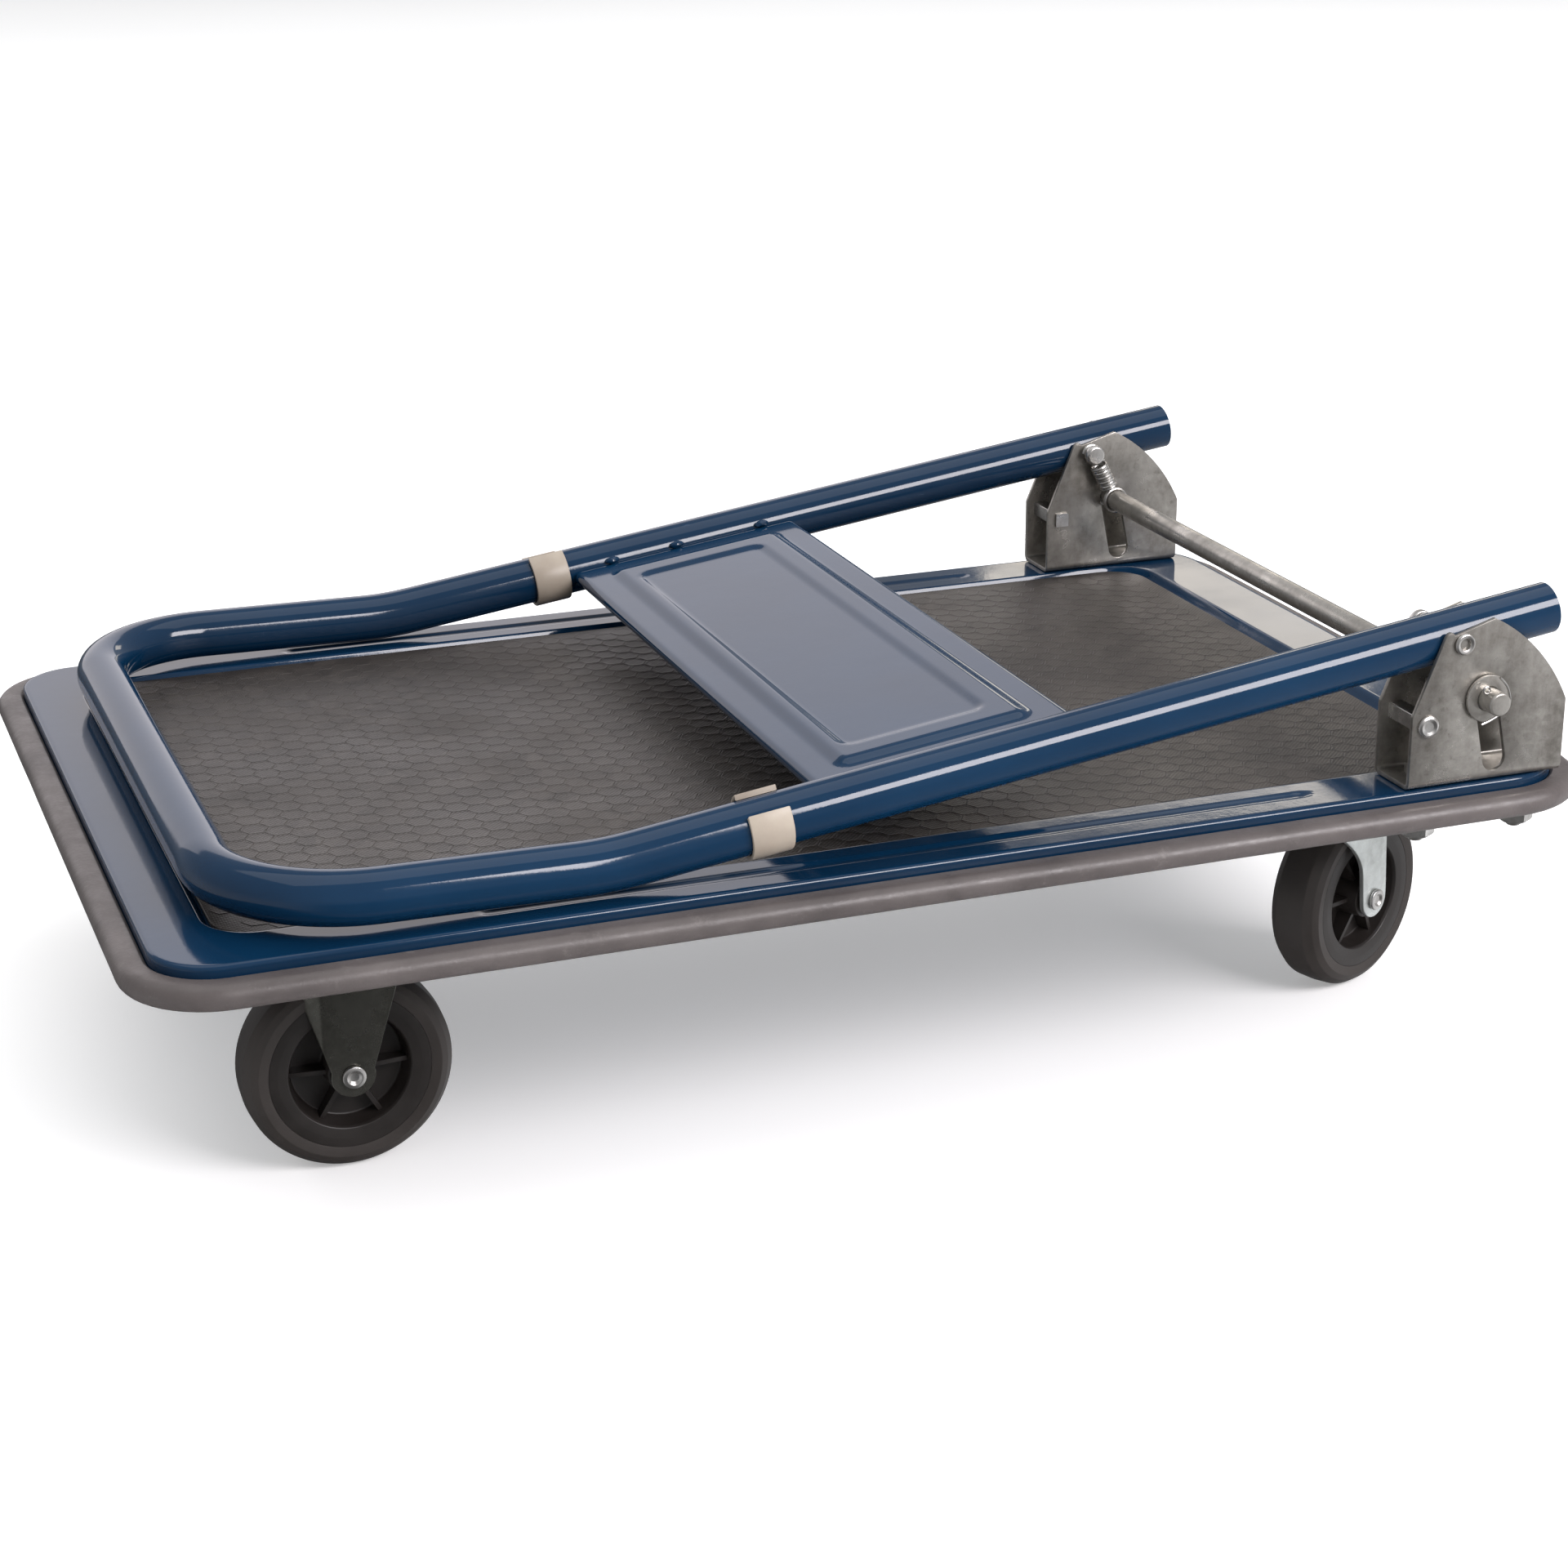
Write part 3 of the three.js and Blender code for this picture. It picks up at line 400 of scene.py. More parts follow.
class Shader:
    """A Principled material whose detail is built from procedural nodes."""

    def __init__(self, name, roughness, metallic=0.0, **sockets):
        self.material = bpy.data.materials.new(name)
        self.material.use_nodes = True
        self.nodes = self.material.node_tree.nodes
        self.links = self.material.node_tree.links
        self.surface = self.nodes["Principled BSDF"]
        self.surface.inputs["Roughness"].default_value = roughness
        self.surface.inputs["Metallic"].default_value = metallic
        for socket, value in sockets.items():
            self.surface.inputs[socket.replace("_", " ")].default_value = value
        self.place = self.nodes.new("ShaderNodeTexCoord").outputs["Object"]

    def node(self, kind, **settings):
        made = self.nodes.new(kind)
        for name, value in settings.items():
            setattr(made, name, value)
        return made

    def join(self, source, target):
        self.links.new(source, target)

    def product(self, first, second):
        made = self.node("ShaderNodeMath", operation="MULTIPLY")
        self.join(first, made.inputs[0])
        self.join(second, made.inputs[1])
        return made.outputs[0]

    def stretched(self, scale, turn=(0, 0, 0)):
        made = self.node("ShaderNodeMapping")
        made.inputs["Scale"].default_value = scale
        made.inputs["Rotation"].default_value = turn
        self.join(self.place, made.inputs["Vector"])
        return made.outputs[0]

    def noise(self, scale, detail=4, roughness=0.55, place=None):
        made = self.node("ShaderNodeTexNoise")
        made.inputs["Scale"].default_value = scale
        made.inputs["Detail"].default_value = detail
        made.inputs["Roughness"].default_value = roughness
        self.join(place or self.place, made.inputs["Vector"])
        return made.outputs["Fac"]

    def cells(self, scale):
        """A random grey for each small patch."""
        made = self.node("ShaderNodeTexVoronoi")
        made.inputs["Scale"].default_value = scale
        self.join(self.place, made.inputs["Vector"])
        grey = self.node("ShaderNodeRGBToBW")
        self.join(made.outputs["Color"], grey.inputs[0])
        return grey.outputs[0]

    def bands(self, direction, scale):
        """Waves at 45 degrees to the cart, along one of two crossing directions."""
        made = self.node("ShaderNodeTexWave", wave_type="BANDS", bands_direction=direction)
        made.inputs["Scale"].default_value = scale
        self.join(self.stretched((1, 1, 1), (0, 0, math.radians(45))), made.inputs["Vector"])
        return made.outputs["Fac"]

    def ramp(self, source, stops):
        made = self.node("ShaderNodeValToRGB")
        elements = made.color_ramp.elements
        while len(elements) < len(stops):
            elements.new(0.5)
        for element, (position, color) in zip(elements, stops):
            element.position = position
            element.color = (*color, 1)
        self.join(source, made.inputs["Fac"])
        return made.outputs["Color"]

    def spread(self, source, low, high, start=0.3, end=0.7):
        """Maps a texture value between start and end onto low to high."""
        made = self.node("ShaderNodeMapRange")
        for socket, number in zip(("From Min", "From Max", "To Min", "To Max"),
                                  (start, end, low, high)):
            made.inputs[socket].default_value = number
        self.join(source, made.inputs["Value"])
        return made.outputs["Result"]

    def mix(self, factor, first, second, blend="MIX"):
        made = self.node("ShaderNodeMix", data_type="RGBA", blend_type=blend)
        if isinstance(factor, float):
            made.inputs["Factor"].default_value = factor
        else:
            self.join(factor, made.inputs["Factor"])
        for socket, source in ((made.inputs[6], first), (made.inputs[7], second)):
            if isinstance(source, tuple):
                socket.default_value = (*source, 1)
            else:
                self.join(source, socket)
        return made.outputs[2]

    def color(self, source):
        self.join(source, self.surface.inputs["Base Color"])

    def roughness(self, source):
        self.join(source, self.surface.inputs["Roughness"])

    def bump(self, *layers):
        """Stacks (height source, strength, distance in metres) layers."""
        normal = None
        for source, strength, distance in layers:
            made = self.node("ShaderNodeBump")
            made.inputs["Strength"].default_value = strength
            made.inputs["Distance"].default_value = distance
            self.join(source, made.inputs["Height"])
            if normal is not None:
                self.join(normal, made.inputs["Normal"])
            normal = made.outputs["Normal"]
        self.join(normal, self.surface.inputs["Normal"])


def blue_enamel():
    """Glossy stoved enamel with a faint orange peel, dust and a few rubbed marks."""
    shader = Shader("blue_enamel", 0.08, IOR=1.5)
    patches = shader.noise(9, detail=3)
    tone = shader.ramp(patches, [(0.3, (0.002, 0.018, 0.047)), (0.7, (0.0032, 0.025, 0.063))])
    scuffs = shader.noise(60, detail=9, roughness=0.75, place=shader.stretched((1, 3, 3)))
    mark = shader.spread(scuffs, 0.0, 0.5, 0.66, 0.76)
    shader.color(shader.mix(mark, tone, (0.05, 0.09, 0.16)))
    shader.roughness(shader.spread(shader.noise(26, detail=6), 0.05, 0.12))
    shader.bump((shader.noise(420, detail=2), 0.04, 0.0003),
                (shader.noise(45, detail=2), 0.05, 0.001))
    return shader.material


def mat_rubber():
    """Embossed sheet: a fine cross weave with dull and shiny patches."""
    shader = Shader("mat_rubber", 0.42, IOR=1.5)
    dirt = shader.noise(7, detail=7, roughness=0.6)
    tone = shader.ramp(dirt, [(0.3, (0.026, 0.022, 0.019)), (0.7, (0.04, 0.034, 0.03))])
    grain = shader.noise(900, detail=3)
    # random darker and lighter patches about one hexagon across
    hex_sized_patches = shader.spread(shader.cells(80), 0.7, 1.2, 0.1, 0.9)
    patchy = shader.mix(1.0, tone, hex_sized_patches, "MULTIPLY")
    shader.color(shader.mix(shader.spread(grain, 0.0, 0.35), patchy, (0.028, 0.024, 0.022)))
    shader.roughness(shader.spread(shader.noise(14, detail=5), 0.3, 0.5))
    weave = shader.product(shader.bands("X", 190), shader.bands("Y", 190))
    shader.bump((weave, 0.35, 0.0004), (grain, 0.15, 0.0003), (dirt, 0.12, 0.004))
    return shader.material


def bumper_rubber():
    """Grey-brown moulded rubber with scuffs, dull patches and fine pores."""
    shader = Shader("bumper_rubber", 0.42, IOR=1.5)
    broad = shader.noise(16, detail=8, roughness=0.65)
    tone = shader.ramp(broad, [(0.28, (0.062, 0.053, 0.052)), (0.5, (0.088, 0.076, 0.074)),
                               (0.75, (0.12, 0.105, 0.102))])
    scuffs = shader.noise(75, detail=9, roughness=0.8)
    scuffed = shader.mix(shader.spread(scuffs, 0.0, 0.65, 0.58, 0.72), tone, (0.18, 0.162, 0.155))
    dents = shader.noise(34, detail=6, roughness=0.7)
    hollow = shader.spread(dents, 0.55, 0.0, 0.28, 0.42)
    shader.color(shader.mix(hollow, scuffed, (0.045, 0.038, 0.037)))
    shader.roughness(shader.spread(scuffs, 0.32, 0.52, 0.35, 0.65))
    shader.bump((shader.noise(700, detail=3), 0.18, 0.0004), (dents, 0.35, 0.0012))
    return shader.material


def galvanised(name, dark, light, roughness, streaks=0.35):
    """Zinc-coated steel: cloudy spangle, faint rolling streaks and small spots."""
    shader = Shader(name, roughness, metallic=0.85)
    cloud = shader.noise(38, detail=8, roughness=0.68)
    tone = shader.ramp(cloud, [(0.3, dark), (0.72, light)])
    shine = shader.spread(shader.cells(260), 0.85, 1.12, 0.1, 0.9)
    spangled = shader.mix(0.55, tone, shader.mix(1.0, tone, shine, "MULTIPLY"))
    drawn = shader.noise(95, detail=7, roughness=0.7, place=shader.stretched((1, 1, 0.12)))
    streaked = shader.mix(shader.spread(drawn, 0.0, streaks, 0.45, 0.75), spangled, light)
    spots = shader.noise(210, detail=4, roughness=0.6)
    shader.color(shader.mix(shader.spread(spots, 0.6, 0.0, 0.26, 0.38), streaked, dark))
    shader.roughness(shader.spread(cloud, roughness + 0.13, roughness - 0.1))
    shader.bump((cloud, 0.10, 0.0008), (shader.noise(850, detail=2), 0.08, 0.0002))
    return shader.material


def zinc_hardware():
    """Bright plated fasteners, darker and duller in cloudy patches."""
    shader = Shader("zinc_hardware", 0.24, metallic=1.0)
    cloud = shader.noise(150, detail=6, roughness=0.6)
    shader.color(shader.ramp(cloud, [(0.3, (0.5, 0.485, 0.46)), (0.7, (0.82, 0.81, 0.79))]))
    shader.roughness(shader.spread(cloud, 0.38, 0.22))
    shader.bump((shader.noise(1200, detail=2), 0.1, 0.0001))
    return shader.material


def tyre_rubber():
    """Matt rubber with a slight bloom and fine moulding grain."""
    shader = Shader("tyre_rubber", 0.5, IOR=1.5)
    bloom = shader.noise(22, detail=6, roughness=0.6)
    tone = shader.ramp(bloom, [(0.3, (0.023, 0.0185, 0.0162)), (0.75, (0.04, 0.0325, 0.029))])
    dust = shader.noise(160, detail=7, roughness=0.75)
    shader.color(shader.mix(shader.spread(dust, 0.0, 0.3, 0.6, 0.75), tone, (0.06, 0.053, 0.049)))
    shader.roughness(shader.spread(bloom, 0.42, 0.6))
    shader.bump((shader.noise(600, detail=3), 0.12, 0.0003), (bloom, 0.08, 0.001))
    return shader.material


def hub_plastic():
    """Black moulded plastic with a fine grain."""
    shader = Shader("hub_plastic", 0.42, IOR=1.48)
    cloud = shader.noise(40, detail=5)
    shader.color(shader.ramp(cloud, [(0.3, (0.013, 0.0106, 0.0095)), (0.7, (0.021, 0.0172, 0.0155))]))
    shader.roughness(shader.spread(cloud, 0.36, 0.5))
    shader.bump((shader.noise(900, detail=3), 0.15, 0.0002))
    return shader.material


def clip_plastic():
    """Ivory plastic, slightly yellowed, with soft moulding waves."""
    shader = Shader("clip_plastic", 0.4, IOR=1.5, Subsurface_Weight=0.08,
                    Subsurface_Radius=(0.004, 0.003, 0.002))
    cloud = shader.noise(55, detail=5)
    tone = shader.ramp(cloud, [(0.3, (0.32, 0.27, 0.22)), (0.7, (0.385, 0.335, 0.275))])
    grime = shader.noise(240, detail=6, roughness=0.7)
    shader.color(shader.mix(shader.spread(grime, 0.0, 0.25, 0.6, 0.75), tone, (0.3, 0.26, 0.22)))
    shader.roughness(shader.spread(cloud, 0.34, 0.48))
    shader.bump((shader.noise(500, detail=2), 0.08, 0.0003))
    return shader.material


def steel(*settings):
    return galvanised(*settings), "galvanised_steel"


# each look is a material and the name of its slot
BLUE = blue_enamel(), "blue_enamel"
MAT = mat_rubber(), "mat_rubber"
BUMPER = bumper_rubber(), "bumper_rubber"
BRACKET_STEEL = steel("bracket_steel", (0.17, 0.158, 0.14), (0.52, 0.5, 0.465), 0.32)
# painted shade: the fixed casters' fork and plate steel gets a far darker base colour than the swivel
# casters' steel, standing in for the dark surroundings its mirror-like faces reflect
FORK_STEEL_PAINTED_SHADE = steel("fork_steel_painted_shade", (0.07, 0.07, 0.06), (0.17, 0.168, 0.15), 0.24, 0.2)
CASTER_STEEL = steel("caster_steel", (0.5, 0.52, 0.505), (0.78, 0.82, 0.805), 0.32, 0.2)
ROD_STEEL = steel("rod_steel", (0.3, 0.285, 0.26), (0.62, 0.6, 0.56), 0.3, 0.25)
ZINC = zinc_hardware(), "zinc_hardware"
DECK_WASHER = CASTER_STEEL[0], "zinc_hardware"
ROD_WASHER = ROD_STEEL[0], "zinc_hardware"
TYRE = tyre_rubber(), "tyre_rubber"
HUB = hub_plastic(), "hub_plastic"
CLIP = clip_plastic(), "clip_plastic"


# ------------------------------------------------------------ deck

def rectangle_ring(low_x, high_x, half_y, low_corner, high_corner, height):
    """A rounded rectangle with evenly divided sides, counter-clockwise from the -Y side."""
    corner_steps = 12
    long_steps = 220
    short_steps = 40
    centres = [
        (high_x - high_corner, -half_y + high_corner, -90, high_corner, short_steps),
        (high_x - high_corner, half_y - high_corner, 0, high_corner, long_steps),
        (low_x + low_corner, half_y - low_corner, 90, low_corner, short_steps),
        (low_x + low_corner, -half_y + low_corner, 180, low_corner, long_steps),
    ]
    outline = []
    for place, (x, y, start, corner, side_steps) in enumerate(centres):
        turned = arc(x, y, corner, start, start + 90, corner_steps)
        after_x, after_y, after_start, after_corner, _ = centres[(place + 1) % 4]
        target = Vector(arc(after_x, after_y, after_corner, after_start, after_start, 1)[0])
        outline.extend(turned)
        last = Vector(turned[-1])
        for step in range(1, side_steps):
            outline.append(tuple(last.lerp(target, step / side_steps)))
    return [(x, y, height) for x, y in outline]


def bead_drop(x, y):
    """How far the pressed groove in each long rim lowers the sheet."""
    beyond = max(0, abs(x) - BEAD_HALF_LENGTH)
    distance = math.hypot(beyond, abs(y) - BEAD_Y)
    return BEAD_DEPTH * (1 - smoothstep(0.25 * BEAD_HALF_WIDTH, BEAD_HALF_WIDTH, distance))


def deck_skin(inset):
    """The upper skin of the pressed deck from its middle outwards, inset into the sheet."""
    half_x = DECK_HIGH.x - inset
    half_y = DECK_HIGH.y - inset
    low_corner = DECK_CORNER_LOW - inset
    high_corner = DECK_CORNER_HIGH - inset
    top = DECK_HIGH.z - inset
    floor = MAT_LOW.z - GAP - inset
    edge = DECK_EDGE - inset
    step_low = (MAT_LOW.x - 0.5, MAT_HIGH.x + 0.5, MAT_HIGH.y + 0.5, MAT_CORNER, MAT_CORNER)
    step_high = (MAT_LOW.x - 5, MAT_HIGH.x + 9, MAT_HIGH.y + 3.2, MAT_CORNER + 3, MAT_CORNER + 3)
    rim = (-half_x + edge, half_x - edge, half_y - edge, low_corner - edge, high_corner - edge)

    def between(first, second, t, height):
        sizes = [a + (b - a) * t for a, b in zip(first, second)]
        ring = rectangle_ring(*sizes, height)
        return [(x, y, z - bead_drop(x, y)) for x, y, z in ring]

    rings = []
    for step in range(11):
        t = step / 10
        rings.append(between(step_low, step_high, t, floor + (top - floor) * smoothstep(0, 1, t)))
    for step in range(1, 31):
        rings.append(between(step_high, rim, step / 30, top))
    for step in range(1, 6):
        angle = math.radians(90 - 18 * step)
        grow = edge * math.cos(angle)
        rings.append(rectangle_ring(-half_x + edge - grow, half_x - edge + grow,
                                    half_y - edge + grow, low_corner - edge + grow,
                                    high_corner - edge + grow, top - edge + edge * math.sin(angle)))
    rings.append(rectangle_ring(-half_x, half_x, half_y, low_corner, high_corner, DECK_LOW.z + 0.4))
    return rings


def deck_plate():
    outer = deck_skin(0)
    inner = deck_skin(SHEET)
    piece("deck_plate", loft(outer + inner[::-1]), BLUE, "deck", ["deck_pan"])


def hexagon_tiles(low, high, corner, across, height):
    """Dished hexagons with raised outlines, only where a whole one fits inside the mat."""
    parts = []
    pitch_x = across * math.sqrt(3) / 2
    columns = int((high.x - low.x) / pitch_x)
    rows = int((high.y - low.y) / across)
    for column in range(columns + 1):
        for row in range(rows + 1):
            x = low.x + across * 0.7 + column * pitch_x
            y = low.y + across * 0.6 + (row + column % 2 * 0.5) * across
            reach = across * 0.58
            if x + reach > high.x or y + reach > high.y:
                continue
            over_x = max(0, abs(x - (low.x + high.x) / 2) + reach - (high.x - low.x) / 2 + corner)
            over_y = max(0, abs(y) + reach - high.y + corner)
            if math.hypot(over_x, over_y) > corner:
                continue
            rings = []
            for size, rise in ((1.0, 0), (0.94, 1), (0.87, 1), (0.72, 1 / 3), (0.3, 1 / 4)):
                outline = hexagon(across * size)
                rings.append([(x + a, y + b, height * rise) for a, b in outline])
            parts.append(loft(rings))
    return merged(*parts)


def deck_mat():
    relief = 0.2
    tile_across = 12.5
    base = rounded_rectangle(MAT_LOW.x, MAT_HIGH.x, MAT_LOW.y, MAT_HIGH.y, MAT_CORNER, 12)
    slab = plate(base, [], MAT_LOW.z, MAT_HIGH.z - relief, 0.4)
    tiles = hexagon_tiles(MAT_LOW, MAT_HIGH, MAT_CORNER, tile_across, relief)
    lifted = moved(tiles, Matrix.Translation((0, 0, MAT_HIGH.z - relief)))
    mesh = build_mesh(*merged(slab, lifted), smooth=False)
    piece("deck_mat", mesh, MAT, "deck", ["anti_slip_mat"])


def edge_bumper():
    """The moulded ring that is clipped round the deck's skirt."""
    reach = BUMPER_HIGH.x - DECK_HIGH.x
    top = BUMPER_HIGH.z
    bottom = BUMPER_LOW.z
    nose = (top - bottom) / 2
    under_skirt = DECK_LOW.z - GAP
    section = rounded([
        (GAP, top - 1.4, 0.5), (1.8, top, 1.2), (reach, top, nose), (reach, bottom, nose),
        (-4, bottom, 0.6), (-4, under_skirt, 0.4), (GAP, under_skirt, 0.3)], 9)
    outline = rectangle_ring(-DECK_HIGH.x, DECK_HIGH.x, DECK_HIGH.y, DECK_CORNER_LOW,
                             DECK_CORNER_HIGH, 0)
    count = len(outline)
    rings = []
    for i, (x, y, _) in enumerate(outline):
        ahead = Vector(outline[(i + 1) % count]) - Vector(outline[i - 1])
        outward = Vector((ahead.y, -ahead.x)).normalized()
        wave = -0.25 * abs(noise.noise(Vector((x * 0.02, y * 0.02, 0))))
        ring = []
        for out, z in section:
            waved = out + wave if out > 1 else out
            ring.append((x + outward.x * waved, y + outward.y * waved, z))
        rings.append(ring)
    piece("bumper", loft(rings, closed=True), BUMPER, "deck", ["edge_bumper"])


def channel(name, node):
    """A folded channel across the underside, with bent corners."""
    low, high = corners(node)
    sheet = 2
    bend = 4
    wall_low = MAT_LOW.z - GAP - SHEET - GAP
    section = rounded([
        (low.x, low.z, bend), (high.x, low.z, bend), (high.x, high.z, 0.4),
        (high.x - sheet, high.z, 0.4), (high.x - sheet, low.z + sheet, bend - sheet),
        (low.x + sheet, low.z + sheet, bend - sheet), (low.x + sheet, wall_low, 0.4),
        (low.x, wall_low, 0.4)], 5)
    piece(name, prism_y(section, low.y, high.y), BLUE, "deck", [node])


# ------------------------------------------------------------ brackets and their fasteners

def stadium(start, end, radius, steps=12):
    along = math.degrees(math.atan2(end[1] - start[1], end[0] - start[0]))
    return (arc(*end, radius, along - 90, along + 90, steps)
            + arc(*start, radius, along + 90, along + 270, steps))


def bracket_outline():
    """The side view: a sloped front, a short top, and an arc down to the rear edge."""
    shoulder = 180
    top_low, top_high = 273, 297
    radius = 96
    start = Vector((top_high, BRACKET_HIGH.z))
    end = Vector((BRACKET_HIGH.x, shoulder))
    chord = end - start
    inward = Vector((chord.y, -chord.x)).normalized()
    centre = (start + end) / 2 + inward * math.sqrt(radius ** 2 - chord.length_squared / 4)
    first = math.degrees(math.atan2(end.y - centre.y, end.x - centre.x))
    last = math.degrees(math.atan2(start.y - centre.y, start.x - centre.x))
    outline = [(BRACKET_LOW.x, BRACKET_LOW.z - 1), (BRACKET_HIGH.x, BRACKET_LOW.z - 1)]
    outline += arc(*centre, radius, first, last, 24)
    outline += rounded_pair((top_low, BRACKET_HIGH.z, 2.5), (BRACKET_LOW.x, shoulder, 4),
                            (BRACKET_LOW.x, 150, 0), (top_high, 150, 0))
    return outline


def bracket(label, side):
    half = BRACKET_HALF
    inner = half - BRACKET_SHEET
    base = BRACKET_LOW.z
    top = BRACKET_HIGH.z + 2
    bend = BRACKET_BEND
    section = rounded([
        (-half, top, 0), (-half, base, bend), (half, base, bend), (half, top, 0), (inner, top, 0),
        (inner, base + BRACKET_SHEET, bend - BRACKET_SHEET),
        (-inner, base + BRACKET_SHEET, bend - BRACKET_SHEET), (-inner, top, 0)], 6)
    long = [[(x, side * LEG_Y + y, z) for y, z in section]
            for x in (BRACKET_LOW.x - 2, BRACKET_HIGH.x + 2)]
    folded = build_mesh(*loft(long), smooth=False)
    low_y = side * LEG_Y - half - 3
    high_y = side * LEG_Y + half + 3
    side_view = build_mesh(*prism_y(bracket_outline(), low_y, high_y), smooth=False)
    rod_low = (ROD_REST.x + ROD_AXIS.x * ROD_TRAVEL, ROD_REST.z + ROD_AXIS.z * ROD_TRAVEL)
    slot = stadium((ROD_REST.x, ROD_REST.z), rod_low, ROD_RADIUS + 0.4)
    slot_cutter = build_mesh(*prism_y(slot, low_y, high_y), smooth=False)
    shaped = boolean(folded, "INTERSECT", [side_view])
    shaped = boolean(shaped, "DIFFERENCE", [slot_cutter])
    piece(f"bracket_plate_{label}", softened(shaped, 0.35), BRACKET_STEEL, "deck",
          [f"bracket_{label}"])


def pivot_rivet(label, side):
    """Headed inside, with a neck for the spring, and flared into a hollow ring outside."""
    face = BRACKET_HALF
    inside = rounded([
        (0, -face - 10.5, 0), (5.9, -face - 10.5, 1.6), (5.9, -face - 6, 0.8), (4.1, -face - 6, 0.4),
        (4.1, face + 0.1, 0), (5.2, face + 0.3, 0.5), (5.6, face + 1.4, 0.8), (4.6, face + 2.2, 0.8),
        (2.9, face + 1.7, 0.7), (2.5, face - 2.2, 0.4), (0, face - 2.2, 0)], 4)
    shifted = [(r, y + LEG_Y) for r, y in inside]
    piece(f"rivet_{label}", lathe_y(shifted, side, PIVOT.x, PIVOT.z), ZINC, "pivot_pins",
          [f"pivot_rivet_{label}"])


def stop_bar(label, side):
    """Square across the bracket and through its inner plate, riveted over outside."""
    x, _, z = middle(f"stop_bar_{label}")
    half = 4
    face = LEG_Y + BRACKET_HALF
    square = rounded_rectangle(x - half, x + half, z - half, z + half, 0.6, 3)
    bar = prism_y(square, LEG_Y - BRACKET_HALF - 2, face - 1)
    head = rounded([(0, face - 1, 0), (4, face - 1, 0), (4, face + 0.2, 0), (5.8, face + 0.3, 0.4),
                    (5.6, face + 1.5, 0.8), (4.2, face + 2.2, 0.6), (2.6, face + 1.5, 0.8),
                    (0, face + 1.5, 0)], 4)
    whole = merged(bar, lathe_y(head, 1, x, z))
    piece(f"stop_{label}", whole if side > 0 else mirrored(whole), ZINC, "deck",
          [f"stop_bar_{label}"])


def hex_prism(across, low, high, chamfer_low, chamfer_high):
    """A hexagon with its corners chamfered round at the ends that ask for it."""
    radius = across / math.sqrt(3)
    steps = 36
    low_end = [(low, 0.93), (low + 0.7, 1.0)] if chamfer_low else [(low, 1.0)]
    high_end = [(high - 0.7, 1.0), (high, 0.93)] if chamfer_high else [(high, 1.0)]
    rings = []
    for z, cap in low_end + high_end:
        ring = []
        for step in range(steps):
            angle = 2 * math.pi * step / steps
            flat = across / 2 / math.cos((angle + math.pi / 6) % (math.pi / 3) - math.pi / 6)
            reach = min(flat, radius * cap)
            ring.append((reach * math.cos(angle), reach * math.sin(angle), z))
        rings.append(ring)
    return loft(rings)


def threaded(radius, low, high, pitch=1.25):
    """A turned shank whose grooves read as a thread, with a chamfered end."""
    profile = [(0, low), (radius - 0.8, low), (radius, low + 0.8)]
    z = low + 0.8
    while z + pitch < high:
        profile += [(radius - 0.55, z + pitch * 0.5), (radius, z + pitch)]
        z += pitch
    profile += [(radius, high), (0, high)]
    return lathe(profile, 24)


def bracket_fasteners():
    hole = 4.3
    for label in SIDES:
        for number in (1, 2):
            low, high = corners(f"bracket_bolt_{label}_{number}")
            nut_low, nut_high = corners(f"bracket_nut_{label}_{number}")
            washer_low, washer_high = corners(f"bracket_washer_{label}_{number}")
            at = above(f"bracket_bolt_{label}_{number}")
            across = min(nut_high.x - nut_low.x, nut_high.y - nut_low.y)
            head = hex_prism(13, high.z - 5, high.z, False, True)
            shank = threaded(4, low.z, high.z - 4.5)
            piece(f"bolt_{label}_{number}", moved(merged(head, shank), at), ZINC, "deck",
                  [f"bracket_bolt_{label}_{number}"])
            collar = lathe(rounded([(hole, nut_low.z + 1.5, 0), (7, nut_low.z + 1.5, 0),
                                    (6.6, nut_low.z, 0.9), (hole, nut_low.z, 0)], 3), 36)
            nut = hex_prism(across, nut_low.z + 1.5, nut_high.z, True, False)
            piece(f"nut_{label}_{number}", moved(merged(nut, collar), at), ZINC, "deck",
                  [f"bracket_nut_{label}_{number}"])
            outer = (washer_high.x - washer_low.x) / 2
            ring = rounded([(hole, washer_low.z, 0.2), (outer, washer_low.z, 0.5),
                            (outer, washer_high.z, 0.5), (hole, washer_high.z, 0.2)], 3)
            piece(f"washer_{label}_{number}", moved(lathe(ring), at), DECK_WASHER, "deck",
                  [f"bracket_washer_{label}_{number}"])


# ------------------------------------------------------------ handle

def leg_height(x):
    return PIVOT.z + (x - PIVOT.x) * math.tan(LEG_SLOPE)


def bend(corner, before, after, radius, steps):
    """Points on the arc that joins two straight lengths at a corner."""
    turn = before.angle(after)
    axis = before.cross(after).normalized()
    to_centre = axis.cross(before).normalized()
    centre = corner - before * radius * math.tan(turn / 2) + to_centre * radius
    return [centre - Matrix.Rotation(turn * step / steps, 3, axis) @ (to_centre * radius)
            for step in range(steps + 1)]


def handle_path():
    leg_away = Vector((-math.cos(LEG_SLOPE), 0, -math.sin(LEG_SLOPE)))
    grip_away = Vector((-math.cos(GRIP_SLOPE), 0, -math.sin(GRIP_SLOPE)))
    across = Vector((0, -1, 0))
    grip_x = TUBE_LOW.x + TUBE_RADIUS
    kink_z = leg_height(KINK_X)
    grip_z = kink_z + (grip_x - KINK_X) * math.tan(GRIP_SLOPE)
    end_x = TUBE_HIGH.x - TUBE_RADIUS * math.sin(LEG_SLOPE)
    half = [Vector((end_x, LEG_Y, leg_height(end_x)))]
    half += bend(Vector((KINK_X, LEG_Y, kink_z)), leg_away, grip_away, KINK_RADIUS, 6)
    half += bend(Vector((grip_x, LEG_Y, grip_z)), grip_away, across, GRIP_CORNER, 20)
    other = [Vector((p.x, -p.y, p.z)) for p in reversed(half)]
    return half + other


